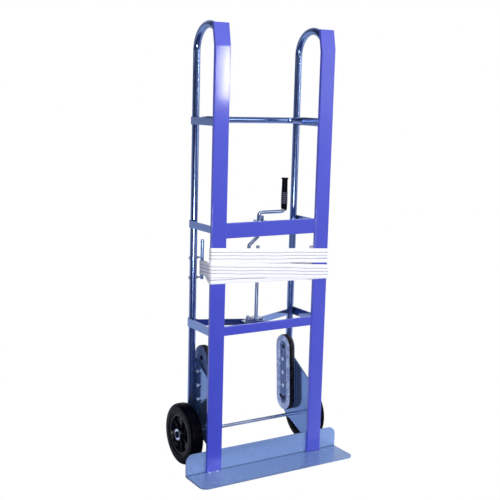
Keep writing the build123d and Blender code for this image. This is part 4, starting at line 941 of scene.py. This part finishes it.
def stitch_row(start, end, count):
    """Stitches along a line, each an ellipsoid half sunk in the cloth."""
    grids = []
    turn = np.linspace(0, 2 * np.pi, 9)[:-1]
    lie = np.linspace(-1, 1, 7)[:, None]
    swell = (1 - lie ** 2) ** 0.5
    ball = np.stack([lie + 0 * turn, swell * np.cos(turn), swell * np.sin(turn)], -1)
    for place in np.linspace(start, end, count):
        grids.append(ball * STITCH + place)
    return grids


upper_y = front - near - WEB_THICK / 2
second_y = front - far - WEB_THICK / 2
stitches = stitch_row((inner + 5, upper_y, 731), (outer - 5, upper_y, 728), 11)
for mm in LINES_MM:
    stitches += stitch_row((1 - outer, upper_y, 767 + mm), (15 - outer, upper_y, 766 + mm), 5)
    stitches += stitch_row((1 - outer, second_y, 719 + mm), (15 - outer, second_y, 717.6 + mm), 5)
lowest = LINES_MM[0]
stitches += stitch_row((1 - outer, upper_y, 695 + lowest), (15 - outer, upper_y, 694.4 + lowest), 5)
# a slate blue thread, dark enough to pick out each stitch on the white
thread, tree = new_material("grey bonded thread")
place = add(tree, "TexCoord", {}, 3)
twist = add(tree, "TexWave", {"Vector": place, "Scale": per_mm(3.0), "Distortion": 2.0}, 1)
fibre = add(tree, "Mix", {0: twist, 6: linear("#4f577e"), 7: linear("#727a9e")}, 2, data_type="RGBA")
bump = add(tree, "Bump", {"Height": twist, "Strength": 0.4, "Distance": 0.0002})
ply = add(tree, "BsdfPrincipled", {"Base Color": fibre, "Roughness": 0.6, "Normal": bump})
add(tree, "OutputMaterial", {"Surface": ply})
strap_stitches = surface("strap_stitches", stitches)
strap_stitches.data.materials.append(thread)

clip_front, clip_back = clip_low[1] + CLIP_THICK / 2, clip_high[1] - CLIP_THICK / 2
clip_z = (clip_low[2] + clip_high[2]) / 2
fold = rounded([
    (clip_high[0], clip_front, clip_z), (clip_low[0] + 0.6, clip_front, clip_z),
    (clip_low[0] + 0.6, clip_back, clip_z), (clip_high[0], clip_back, clip_z),
], [1.2, 1.2], 0.4)
fold_way = unit(np.gradient(fold[:, :2], axis=0))
fold_out = np.stack([fold_way[:, 1], -fold_way[:, 0], 0 * fold[:, 0]], -1)
end_clip = surface("strap_end_fold", [band(fold, fold_out, clip_high[2] - clip_low[2], CLIP_THICK)[0]])
end_clip.data.materials.append(zinc)
for piece, slot in ((strap_stitches, "webbing"), (end_clip, "zinc_steel")):
    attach(piece, "root")
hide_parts("strap_end_clip")
